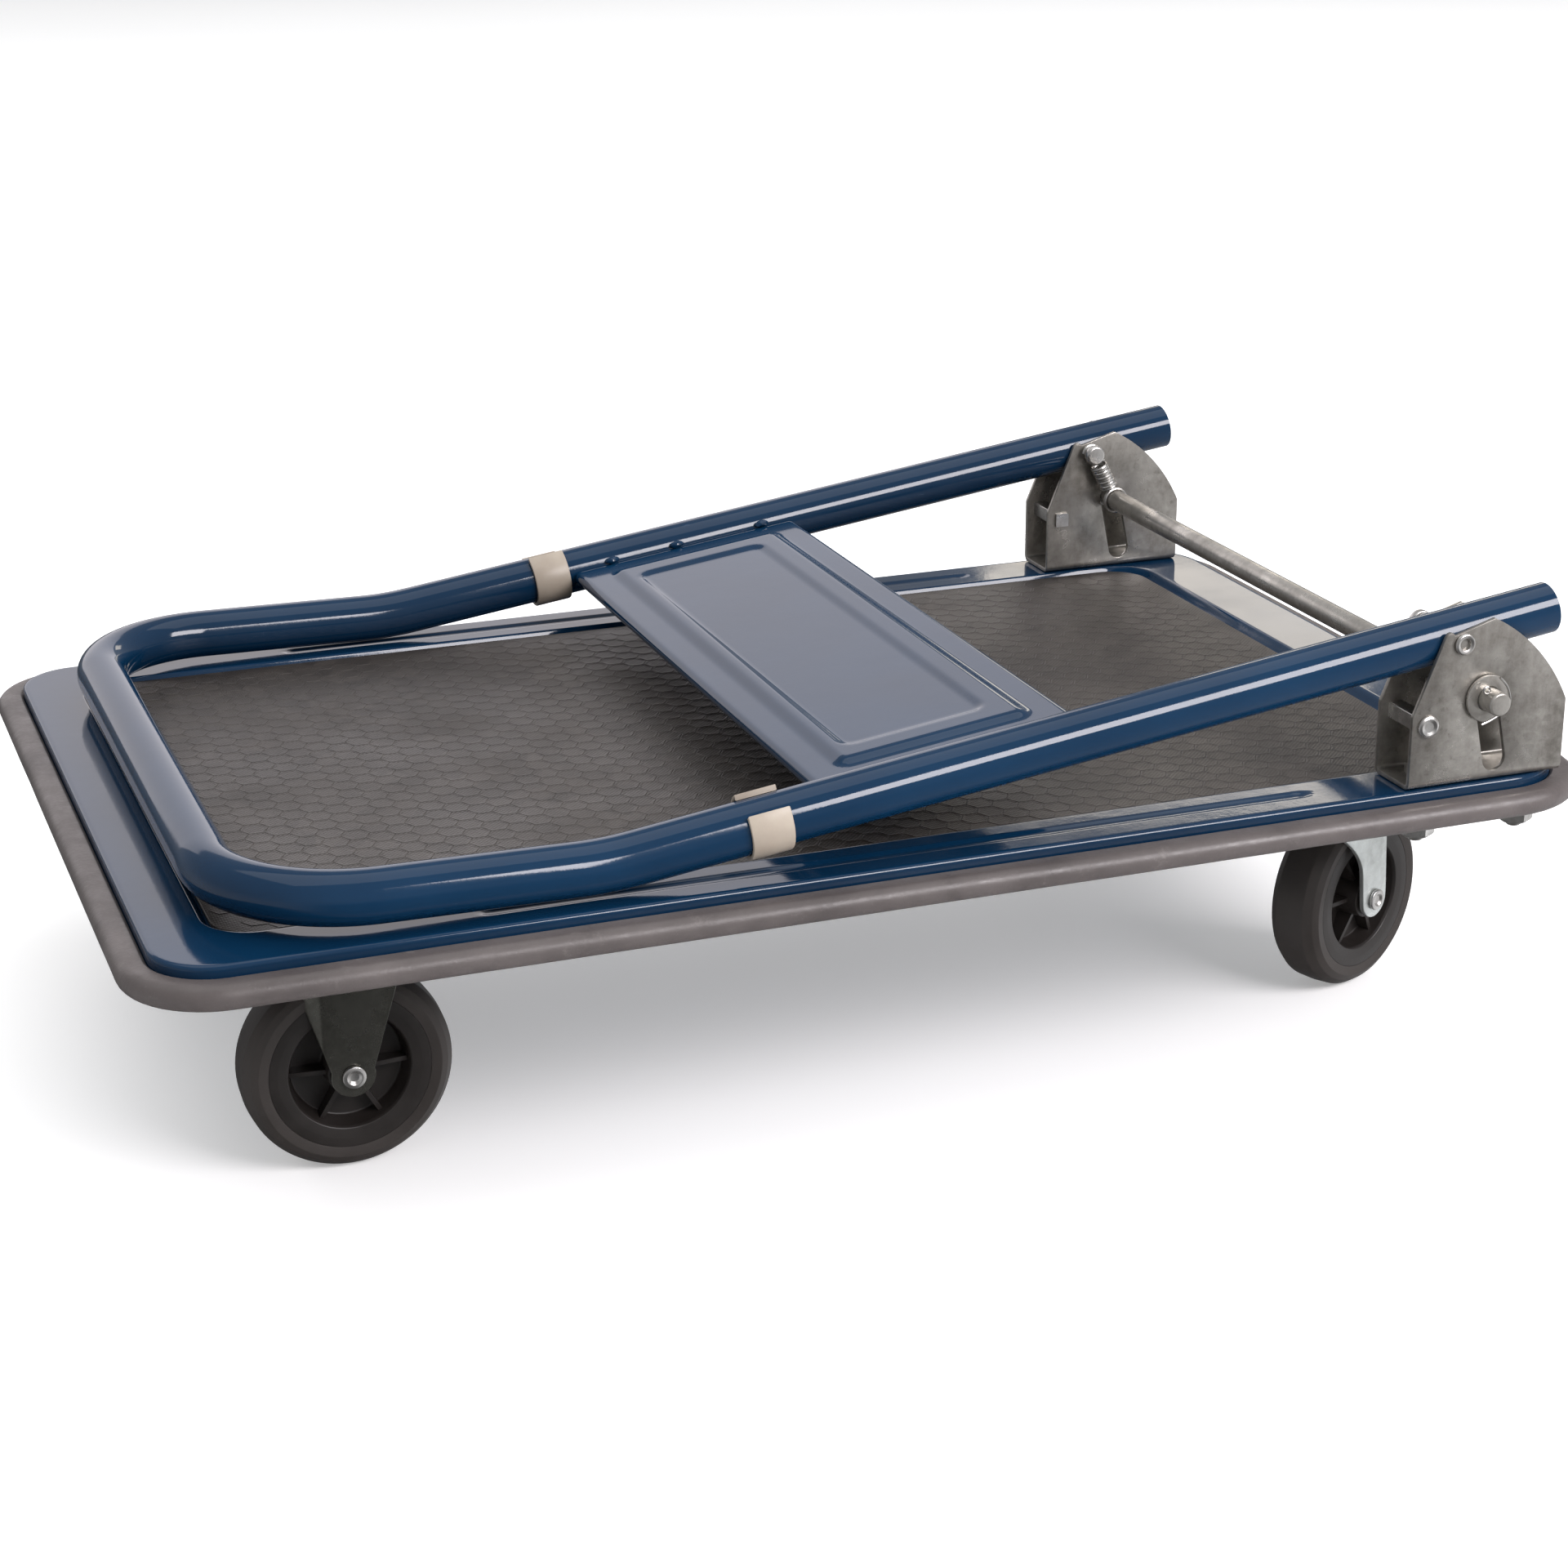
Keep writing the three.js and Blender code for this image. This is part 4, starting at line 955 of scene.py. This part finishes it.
def handle_tube():
    """The bent tube: an outer and an inner wall that meet at each open end."""
    walls = []
    for radius in (TUBE_RADIUS, TUBE_RADIUS - 1.5):
        points = sweep(handle_path(), circle(radius, TUBE_SIDES))[0]
        walls.append([points[i:i + TUBE_SIDES] for i in range(0, len(points), TUBE_SIDES)])
    outer, inner = walls
    piece("handle_bar", loft(outer + inner[::-1], closed=True), BLUE, "handle", ["handle_tube"])


LEG_FRAME = Matrix.Translation((PIVOT.x, 0, PIVOT.z)) @ Matrix.Rotation(-LEG_SLOPE, 4, "Y")


def rectangle_distance(u, y, low, high, half, corner):
    """Signed distance outside a rounded rectangle centred on y = 0."""
    over_u = abs(u - (low + high) / 2) - (high - low) / 2 + corner
    over_y = abs(y) - half + corner
    outside = math.hypot(max(0, over_u), max(0, over_y))
    return outside + min(0, max(over_u, over_y)) - corner


def panel_lift(u, y, low, high, half):
    """Height of the pressed border: up from the flat edge, down again to the middle."""
    outer = rectangle_distance(u, y, low + 12, high - 12, half - 16, 9)
    middle = rectangle_distance(u, y, low + 25, high - 31, half - 38, 6)
    return 2.4 * smoothstep(0, -7, outer) - 1.4 * smoothstep(3.5, -2, middle)


def cross_panel():
    """The pressed panel between the legs: rolled long edges, raised border, turned-down ends."""
    low_corner, high_corner = corners("cross_panel")
    slope = math.cos(LEG_SLOPE)
    low = (low_corner.x + 3.8 - PIVOT.x) / slope
    high = (high_corner.x - 3.6 - PIVOT.x) / slope
    half = high_corner.y
    top = 3
    roll = 3.6
    steps = 90
    top_line = [low + (high - low) * i / steps for i in range(steps + 1)]
    bottom_line = [u for u in reversed(top_line) if low + roll * 0.9 < u < high - roll * 0.9]
    right = arc(high, top - roll, roll, 75, -215, 16)
    left = arc(low, top - roll, roll, 35, -255, 16)
    rings = []
    stations = [half * (-1 + 2 * i / 190) for i in range(191)]
    for y in stations:
        droop = 2.2 * smoothstep(half - 3.4, half, abs(y)) ** 2
        ring = []
        for u in top_line:
            ring.append((u, y, top + panel_lift(u, y, low, high, half) - droop))
        ring.extend((u, y, w - droop) for u, w in right)
        for u in bottom_line:
            ring.append((u, y, top - SHEET + panel_lift(u, y, low, high, half) - droop))
        ring.extend((u, y, w - droop) for u, w in left)
        rings.append(ring)
    body = loft(rings)
    end = [(low + 5, top - 9), (high - 5, top - 9), (high - 5, top - 1.6), (low + 5, top - 1.6)]
    flange = prism_y(end, half - SHEET, half)
    whole = merged(body, flange, mirrored(flange))
    piece("handle_panel", moved(whole, LEG_FRAME), BLUE, "handle", ["cross_panel"])


def weld_bead(u, side, length, seed):
    """A lumpy tack of weld between the panel's end and the leg, painted over."""
    rings = []
    rows = 9
    seam = LEG_Y - 12.6
    for row in range(rows + 1):
        t = row / rows
        swell = math.sqrt(max(0, 1 - (2 * t - 1) ** 2)) + 0.02
        ring = []
        for x, y in circle(2.3 * swell, 14):
            lump = 1 + 0.3 * noise.noise(Vector((x, y, seed + t * 3)))
            ring.append((u + (t - 0.5) * length, side * seam + x * lump, 4.4 + y * lump * 0.8))
        rings.append(ring)
    return loft(rings)


def weld_beads():
    places = [-19, 20, 72]
    for label, side in SIDES.items():
        parts = []
        for seed, x in enumerate(places):
            u = (x - PIVOT.x) / math.cos(LEG_SLOPE)
            parts.append(weld_bead(u, side, 9, seed * 7 + side))
        piece(f"weld_beads_{label}", moved(merged(*parts), LEG_FRAME), BLUE, "handle")


def leg_clip(label, side):
    """A sprung plastic C round the leg, thicker at its lips."""
    u = (middle(f"leg_clip_{label}").x - PIVOT.x) / math.cos(LEG_SLOPE)
    width = 20.5
    inner = TUBE_RADIUS + 0.2
    outer = inner + 2.2
    start, end = 108, 400
    steps = 56
    outer_arc = []
    for step in range(steps + 1):
        angle = math.radians(start + (end - start) * step / steps)
        lip = 0.5 * (1 - smoothstep(0, 5, min(step, steps - step)))
        outer_arc.append(((outer + lip) * math.cos(angle), (outer + lip) * math.sin(angle)))
    outline = wound(outer_arc + arc(0, 0, inner, end, start, steps), True)
    edge = 0.7
    chamfer = [(0, edge), (edge * 0.3, edge * 0.3), (edge, 0)]
    stations = [(reach - width / 2, inset) for reach, inset in chamfer]
    stations += [(width / 2 - reach, inset) for reach, inset in reversed(chamfer)]
    rings = []
    for along, inset in stations:
        loop = offset_loop(outline, inset)
        rings.append([(u + along, side * (LEG_Y + y), w) for y, w in loop])
    piece(f"clip_{label}", moved(loft(rings), LEG_FRAME), CLIP, "handle", [f"leg_clip_{label}"])


# ------------------------------------------------------------ release rod, pins and springs

def release_rod():
    profile = rounded(both_ends([(ROD_RADIUS, ROD_HIGH.y, 1.3), (0, ROD_HIGH.y, 0)]), 4)
    piece("foot_rod", lathe_y(profile, 1, ROD_REST.x, ROD_REST.z, 40), ROD_STEEL, "release",
          ["release_rod"])


def rod_washer(label, side):
    low = LEG_Y + BRACKET_HALF + GAP
    ring = rounded([(6.3, low, 0.2), (12, low, 0.5), (12, low + 2, 0.6), (6.3, low + 2, 0.3)], 3)
    piece(f"plain_washer_{label}", lathe_y(ring, side, ROD_REST.x, ROD_REST.z), ROD_WASHER,
          "release", [f"rod_washer_{label}"])


def smooth_path(points, steps):
    """A smooth curve through points, as a Catmull-Rom spline."""
    path = []
    points = [Vector(p) for p in points]
    count = len(points)
    for i in range(count - 1):
        before = points[max(0, i - 1)]
        here = points[i]
        there = points[i + 1]
        after = points[min(count - 1, i + 2)]
        for step in range(steps):
            t = step / steps
            path.append(0.5 * (2 * here + (there - before) * t
                               + (2 * before - 5 * here + 4 * there - after) * t * t
                               + (3 * here - before - 3 * there + after) * t ** 3))
    path.append(points[-1])
    return path


def split_pin(label, side):
    """A wire pin: an eye where it enters the rod, and two legs bent apart beyond it."""
    tilt = math.radians(37)
    up = Vector((-math.sin(tilt), 0, math.cos(tilt)))
    along = Vector((math.cos(tilt), 0, math.sin(tilt)))
    out = Vector((0, side, 0))
    centre = Vector((ROD_REST.x, middle(f"split_pin_{label}").y, ROD_REST.z))
    reach = ROD_RADIUS
    eye = [(a, b, 0) for a, b in arc(reach + 1.9, 0, 1.7, 180, 510, 18)]
    first = [(reach + 0.3, 0.35, 0), (0, 0.35, 0), (-reach - 1, 0.5, 0), (-reach - 0.6, 6, 0),
             (1, reach + 3.4, 0), (9, reach + 2.6, 1.2)]
    second = [(reach + 0.3, -0.35, 0), (0, -0.35, 0), (-reach - 1, -0.5, 0), (-reach - 0.8, -6, 0),
              (-4.2, -reach - 6, 1)]
    parts = []
    for route, steps in ((eye, 1), (first, 6), (second, 6)):
        places = [centre + up * a + along * b + out * c for a, b, c in route]
        parts.append(sweep(smooth_path(places, steps), circle(0.65, 8)))
    piece(f"pin_wire_{label}", merged(*parts), ZINC, "release", [f"split_pin_{label}"])


def release_spring(label, side):
    """A close-wound tension spring hooked on the rivet's neck and looped round the rod."""
    wire = 0.85
    hook_radius = 5.1
    coil_radius = 4.5
    loop_radius = ROD_RADIUS + wire + 0.1
    coil_start = 7.2
    turns = 10
    turn_steps = 16
    hook_y = side * (LEG_Y - BRACKET_HALF - 3.2)
    coil_y = side * (LEG_Y - BRACKET_HALF - 6.6)
    top = Vector((PIVOT.x, hook_y, PIVOT.z))
    bottom = Vector((ROD_REST.x, coil_y, ROD_REST.z))
    down = Vector((bottom.x - top.x, 0, bottom.z - top.z))
    length = down.length
    down.normalize()
    across = Vector((-down.z, 0, down.x))
    depth = Vector((0, side, 0))
    path = []
    for step in range(15):
        angle = math.radians(-60 + 300 * step / 14)
        path.append(top + (across * math.sin(angle) - down * math.cos(angle)) * hook_radius)
    axis_start = Vector((top.x, coil_y, top.z)) + down * coil_start
    coil_length = length - coil_start - ROD_RADIUS - 3.4
    for step in range(turns * turn_steps + 1):
        angle = 2 * math.pi * step / turn_steps
        place = axis_start + down * coil_length * step / (turns * turn_steps)
        path.append(place + (across * math.cos(angle) + depth * math.sin(angle)) * coil_radius)
    for step in range(1, 40):
        angle = math.radians(160 + 560 * step / 39)
        place = bottom + depth * (-0.4 - 1.9 * step / 39)
        path.append(place + (across * math.sin(angle) + down * math.cos(angle)) * loop_radius)
    spring = piece(f"spring_{label}", sweep(path, circle(wire, 8)), ZINC, "deck",
                   [f"release_spring_{label}"])
    spring.parent = None
    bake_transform(spring)


# ------------------------------------------------------------ wheels and casters

def axle_turn(side, kind):
    """The turn about Z that brings local Y onto a wheel's axle."""
    axle = Vector(joint(f"{side}_{kind}_wheel_spin")["axis"])
    return Matrix.Rotation(math.atan2(-axle.x, axle.y), 4, "Z")


def wheel(side, kind):
    label = f"{kind}_{side}"
    body = f"{side}_{kind}_wheel"
    place = Matrix.Translation(middle(f"hub_{label}")) @ axle_turn(side, kind) @ TO_Y
    tyre = rounded([
        (38.4, -13.8, 0.12), (43.2, -14.6, 0.8), (46.4, -12.6, 2.0), (49.5, -8.2, 2.2), (50.0, 0, 0),
        (49.5, 8.2, 2.2), (46.4, 12.6, 2.0), (43.2, 14.6, 0.8), (38.4, 13.8, 0.12)], 6)
    piece(f"tyre_ring_{label}", moved(lathe(tyre, 96), place), TYRE, body, [f"tyre_{label}"])
    rim = rounded(both_ends([
        (38.3, 13.75, 0.12), (34, 13.6, 1), (29.2, 13.1, 0.9), (28.4, 11.6, 0.8), (26.8, 2.2, 1.2),
        (11.5, 1.6, 1.5), (11.0, 15.4, 0.6), (6.4, 15.9, 0.5)]), 4)
    parts = [lathe(rim, 96)]
    for spoke in range(6):
        outline = rounded([(10, -10.5, 0.5), (28.2, -8.5, 0.5), (28.2, 8.5, 0.5), (10, 10.5, 0.5)], 3)
        rib = loft([[(r, w, h) for r, h in outline] for w in (-1.1, 1.1)])
        parts.append(moved(rib, Matrix.Rotation(math.radians(60 * spoke), 4, "Z")))
    piece(f"hub_wheel_{label}", moved(merged(*parts), place), HUB, body, [f"hub_{label}"])
    carrier = "deck" if kind == "fixed" else f"{side}_caster"
    sleeve = rounded(both_ends([(6, 16.6, 0.4), (4.3, 16.6, 0.3)]), 3)
    piece(f"sleeve_{label}", moved(lathe(sleeve, 32), place), ZINC, carrier,
          [f"axle_sleeve_{label}"])
    end = 22.2
    axle = rounded(both_ends([
        (4, 20, 0.2), (5.6, 20, 0.4), (5.6, end - 0.5, 0.7), (3.6, end, 0.8), (2.2, end - 1.2, 0.6),
        (0, end - 1.4, 0)]), 4)
    piece(f"axle_{label}", moved(lathe(axle, 40), place), ZINC, carrier, [f"axle_bolt_{label}"])


def fork_legs(outline, axle_x, fold_line, fold_depth):
    """Both legs of a fork: plates whose front edge is folded in beyond a line."""
    hole = arc(axle_x, WHEEL_RADIUS, 4.3, 0, 345, 23)
    points, faces = plate(outline, [hole], 0, FORK_SHEET, 0.3)
    work = bmesh.new()
    verts = [work.verts.new(p) for p in points]
    for face in faces:
        work.faces.new([verts[i] for i in face])
    start = Vector((*fold_line[0], 0))
    direction = Vector((*fold_line[1], 0)) - start
    normal = Vector((direction.y, -direction.x, 0)).normalized()
    half_bend = 1.5
    for share in (-1, -0.5, 0, 0.5, 1):
        place = start + normal * half_bend * share
        geometry = work.verts[:] + work.edges[:] + work.faces[:]
        bmesh.ops.bisect_plane(work, geom=geometry, plane_co=place, plane_no=normal)
    work.verts.index_update()
    result = []
    for vert in work.verts:
        beyond = max(0, (vert.co - start).dot(normal) + half_bend)
        bent = beyond * beyond / (4 * half_bend)
        lean = bent if beyond < 2 * half_bend else beyond - half_bend
        result.append((vert.co.x, FORK_INNER + vert.co.z - lean * fold_depth, vert.co.y))
    faces = [tuple(v.index for v in f.verts) for f in work.faces]
    work.free()
    leg = (result, faces)
    return merged(leg, mirrored(leg))


def plate_holes(low, high):
    """The places of the four holes of a caster's plate, from its middle."""
    reach_x = (high.x - low.x) / 2 - CASTER_HOLE_INSET
    reach_y = (high.y - low.y) / 2 - CASTER_HOLE_INSET
    return [(x * reach_x, y * reach_y) for x in (-1, 1) for y in (-1, 1)]


def caster_plate(low, high):
    """The top plate with rounded corners and four slotted holes, centred on Z."""
    half_x = (high.x - low.x) / 2
    half_y = (high.y - low.y) / 2
    outline = rounded_rectangle(-half_x, half_x, -half_y, half_y, 8, 6)
    holes = [stadium((x - 2, y), (x + 2, y), 4.2, 6) for x, y in plate_holes(low, high)]
    bottom = high.z - CASTER_SHEET
    return moved(plate(outline, holes, 0, CASTER_SHEET, 0.3), Matrix.Translation((0, 0, bottom)))


def plate_fasteners(name, low, high, at):
    """The four bolts that hold a caster plate to its channel, with nuts below it."""
    bottom = high.z - CASTER_SHEET
    nut = hex_prism(12, bottom - 4.6, bottom, True, False)
    end = threaded(3.6, bottom - 6.4, bottom - 1)
    parts = []
    for x, y in plate_holes(low, high):
        parts.append(moved(merged(nut, end), at @ Matrix.Translation((x, y, 0))))
    piece(name, merged(*parts), ZINC, "deck")


def fixed_caster(label):
    low, high = corners(f"fixed_fork_{label}")
    at = above(f"fixed_fork_{label}")
    plate_bottom = high.z - CASTER_SHEET
    top_half = 28.5
    end_radius = 10.5
    outline = [(-top_half, plate_bottom + 0.5), (-top_half, plate_bottom - 5)]
    outline += arc(0, WHEEL_RADIUS, end_radius, 165, 375, 22)
    outline += [(top_half, plate_bottom - 5), (top_half, plate_bottom + 0.5)]
    fold_line = ((-14.0, plate_bottom), (-13.5, 70))
    parts = merged(fork_legs(outline, 0, fold_line, 0.9), caster_plate(low, high))
    piece(f"fork_fixed_{label}", moved(parts, at), FORK_STEEL_PAINTED_SHADE, "deck", [f"fixed_fork_{label}"])
    plate_fasteners(f"plate_bolts_fixed_{label}", low, high, at)


def swivel_caster(label):
    low, high = corners(f"swivel_plate_{label}")
    at = above(f"swivel_plate_{label}")
    plate_bottom = high.z - CASTER_SHEET
    race_bottom = low.z
    race = rounded([
        (10, race_bottom, 0.4), (22, race_bottom, 1.8), (24.5, race_bottom + 1.2, 2), (29, plate_bottom, 2),
        (30, plate_bottom + 0.5, 0), (10, plate_bottom + 0.5, 0)], 4)
    parts = merged(caster_plate(low, high), lathe(race))
    piece(f"plate_swivel_{label}", moved(parts, at), CASTER_STEEL, "deck",
          [f"swivel_plate_{label}"])
    plate_fasteners(f"plate_bolts_swivel_{label}", low, high, at)
    pin_low, pin_high = corners(f"kingpin_{label}")
    pin = rounded([
        (0, pin_low.z, 0), (7.4, pin_low.z, 1.6), (8, pin_low.z + 2.4, 0.4),
        (5, pin_low.z + 2.5, 0.2), (5, pin_high.z - 2.3, 0.2), (9, pin_high.z - 2.3, 0.3),
        (9, pin_high.z, 0.6), (0, pin_high.z, 0)], 3)
    piece(f"kingpin_rivet_{label}", moved(lathe(pin, 36), at), ZINC, "deck", [f"kingpin_{label}"])
    swivel_fork(label, at)


def swivel_fork(label, at):
    """The yoke: a crown round the kingpin, and two legs swept back to the axle."""
    trail = 35
    crown_top = corners(f"swivel_fork_{label}")[1].z
    crown_bottom = crown_top - 3.4
    end_radius = 10
    rear = trail + end_radius
    top_rear = rear - 4.2
    start = Vector((trail - 25, WHEEL_RADIUS + 37))
    pull = Vector((trail - 12, WHEEL_RADIUS + 26))
    stop = Vector((trail - 11.5, WHEEL_RADIUS + 14))
    outline = [(-16, crown_top - 2), (-16, crown_bottom - 1)]
    for step in range(15):
        t = step / 14
        outline.append(tuple(start.lerp(pull, t).lerp(pull.lerp(stop, t), t)))
    outline += arc(trail, WHEEL_RADIUS, end_radius, 186, 360, 20)
    outline += [(rear, WHEEL_RADIUS + 4), (top_rear, crown_top - 2)]
    fold_line = ((trail - 12, crown_top), (trail - 7, WHEEL_RADIUS + 2))
    crown_outline = arc(0, 0, 24.5, 128, 232, 14)
    crown_outline += rounded_pair((top_rear, -19.6, 2), (top_rear, 19.6, 2), (5, 19.7, 0),
                                  (5, -19.7, 0))
    hole = arc(0, 0, 5.3, 0, 345, 23)
    crown = plate(crown_outline, [hole], crown_bottom, crown_top, 0.5)
    parts = merged(fork_legs(outline, trail, fold_line, 0.1), crown)
    piece(f"fork_swivel_{label}", moved(parts, at @ axle_turn(label, "swivel")), CASTER_STEEL,
          f"{label}_caster", [f"swivel_fork_{label}"])


# ------------------------------------------------------------ studio

def studio():
    bpy.ops.mesh.primitive_grid_add(x_subdivisions=12, y_subdivisions=12, size=60)
    floor = bpy.context.object
    floor.name = "floor"
    shader = Shader("floor_paint", 0.75, Emission_Color=(1, 1, 1, 1), Emission_Strength=0.3)
    shades = [(0.3, (0.86, 0.86, 0.86)), (0.7, (0.88, 0.88, 0.88))]
    shader.color(shader.ramp(shader.noise(1.5, detail=2), shades))
    floor.data.materials.append(shader.material)
    floor.visible_glossy = False
    world = bpy.context.scene.world or bpy.data.worlds.new("studio")
    bpy.context.scene.world = world
    world.use_nodes = True
    nodes = world.node_tree.nodes
    links = world.node_tree.links
    direction = nodes.new("ShaderNodeSeparateXYZ")
    links.new(nodes.new("ShaderNodeTexCoord").outputs["Generated"], direction.inputs[0])

    def graded(axis, start, end, low, high):
        """low to high as the direction looked in turns from start to end along an axis."""
        grade = nodes.new("ShaderNodeMapRange")
        grade.interpolation_type = "SMOOTHSTEP"
        for socket, value in zip(("From Min", "From Max", "To Min", "To Max"), (start, end, low, high)):
            grade.inputs[socket].default_value = value
        links.new(direction.outputs[axis], grade.inputs["Value"])
        return grade.outputs["Result"]

    right = graded("X", 0.1, 0.95, 0.1, 0.85)
    left = graded("X", -0.3, -0.95, 0.0, 0.35)
    below = nodes.new("ShaderNodeMath")
    links.new(right, below.inputs[0])
    links.new(left, below.inputs[1])
    strength = nodes.new("ShaderNodeMix")
    links.new(graded("Z", -0.2, 0.12, 0.0, 1.0), strength.inputs["Factor"])
    links.new(below.outputs[0], strength.inputs["A"])
    strength.inputs["B"].default_value = 0.34
    background = nodes["Background"]
    background.inputs["Color"].default_value = (0.98, 0.98, 1.0, 1)
    links.new(strength.outputs["Result"], background.inputs["Strength"])
    lamps = [
        ("key_box", (1.35, -2.05, 1.72), (2.0, 1.0), 13.0, (1.0, 0.96, 0.98)),
        ("overhead", (0.0, 0.3, 2.9), (3.6, 2.4), 0.7, (1.0, 1.0, 1.0)),
        ("back_card", (-0.2, 3.7, 1.25), (3.6, 2.2), 1.0, (1.0, 0.93, 0.95)),
        ("warm_card", (2.0, 3.3, 1.35), (0.7, 0.5), 2.4, (1.0, 0.9, 0.76)),
        ("floor_wash", (0.0, 0.6, 3.2), (9.0, 9.0), 0.95, (1.0, 1.0, 1.0)),
    ]
    for name, place, size, radiance, tint in lamps:
        lamp = bpy.data.lights.new(name, "AREA")
        lamp.shape = "RECTANGLE"
        lamp.size, lamp.size_y = size
        lamp.energy = radiance * math.pi * size[0] * size[1]
        lamp.color = tint
        holder = bpy.data.objects.new(name, lamp)
        holder.location = place
        toward = Vector((0, 0, 0.15)) - Vector(place)
        holder.rotation_euler = toward.to_track_quat("-Z", "Y").to_euler()
        holder.visible_glossy = name != "floor_wash"
        holder.visible_camera = False
        bpy.context.collection.objects.link(holder)
    bpy.context.scene.view_settings.view_transform = "Standard"


def camera():
    """Looks down the cart from the near side, left of its middle."""
    azimuth = math.radians(-20.873)
    elevation = math.radians(19.731)
    roll = math.radians(-0.21)
    place = Matrix.Translation((-0.52499, -1.4341, 0.66251))
    forward = Vector((-math.sin(azimuth) * math.cos(elevation),
                      math.cos(azimuth) * math.cos(elevation), -math.sin(elevation)))
    level = Vector((math.cos(azimuth), math.sin(azimuth), 0))
    upright = level.cross(forward)
    right = level * math.cos(roll) + upright * math.sin(roll)
    up = right.cross(forward)
    lens = bpy.data.cameras.new("camera")
    lens.lens = 70.76
    lens.sensor_width = 36
    lens.shift_x = -0.0108
    lens.shift_y = -0.0112
    holder = bpy.data.objects.new("camera", lens)
    holder.matrix_world = place @ Matrix((right, up, -forward)).transposed().to_4x4()
    bpy.context.collection.objects.link(holder)
    bpy.context.scene.camera = holder


# ------------------------------------------------------------ the whole cart

camera()
studio()
deck_plate()
deck_mat()
edge_bumper()
channel("channel_rear", "rear_channel")
channel("channel_front", "front_channel")
bracket_fasteners()
for label, side in SIDES.items():
    bracket(label, side)
    pivot_rivet(label, side)
    stop_bar(label, side)
    leg_clip(label, side)
    rod_washer(label, side)
    split_pin(label, side)
    release_spring(label, side)
    fixed_caster(label)
    swivel_caster(label)
    wheel(label, "fixed")
    wheel(label, "swivel")
handle_tube()
cross_panel()
weld_beads()
release_rod()
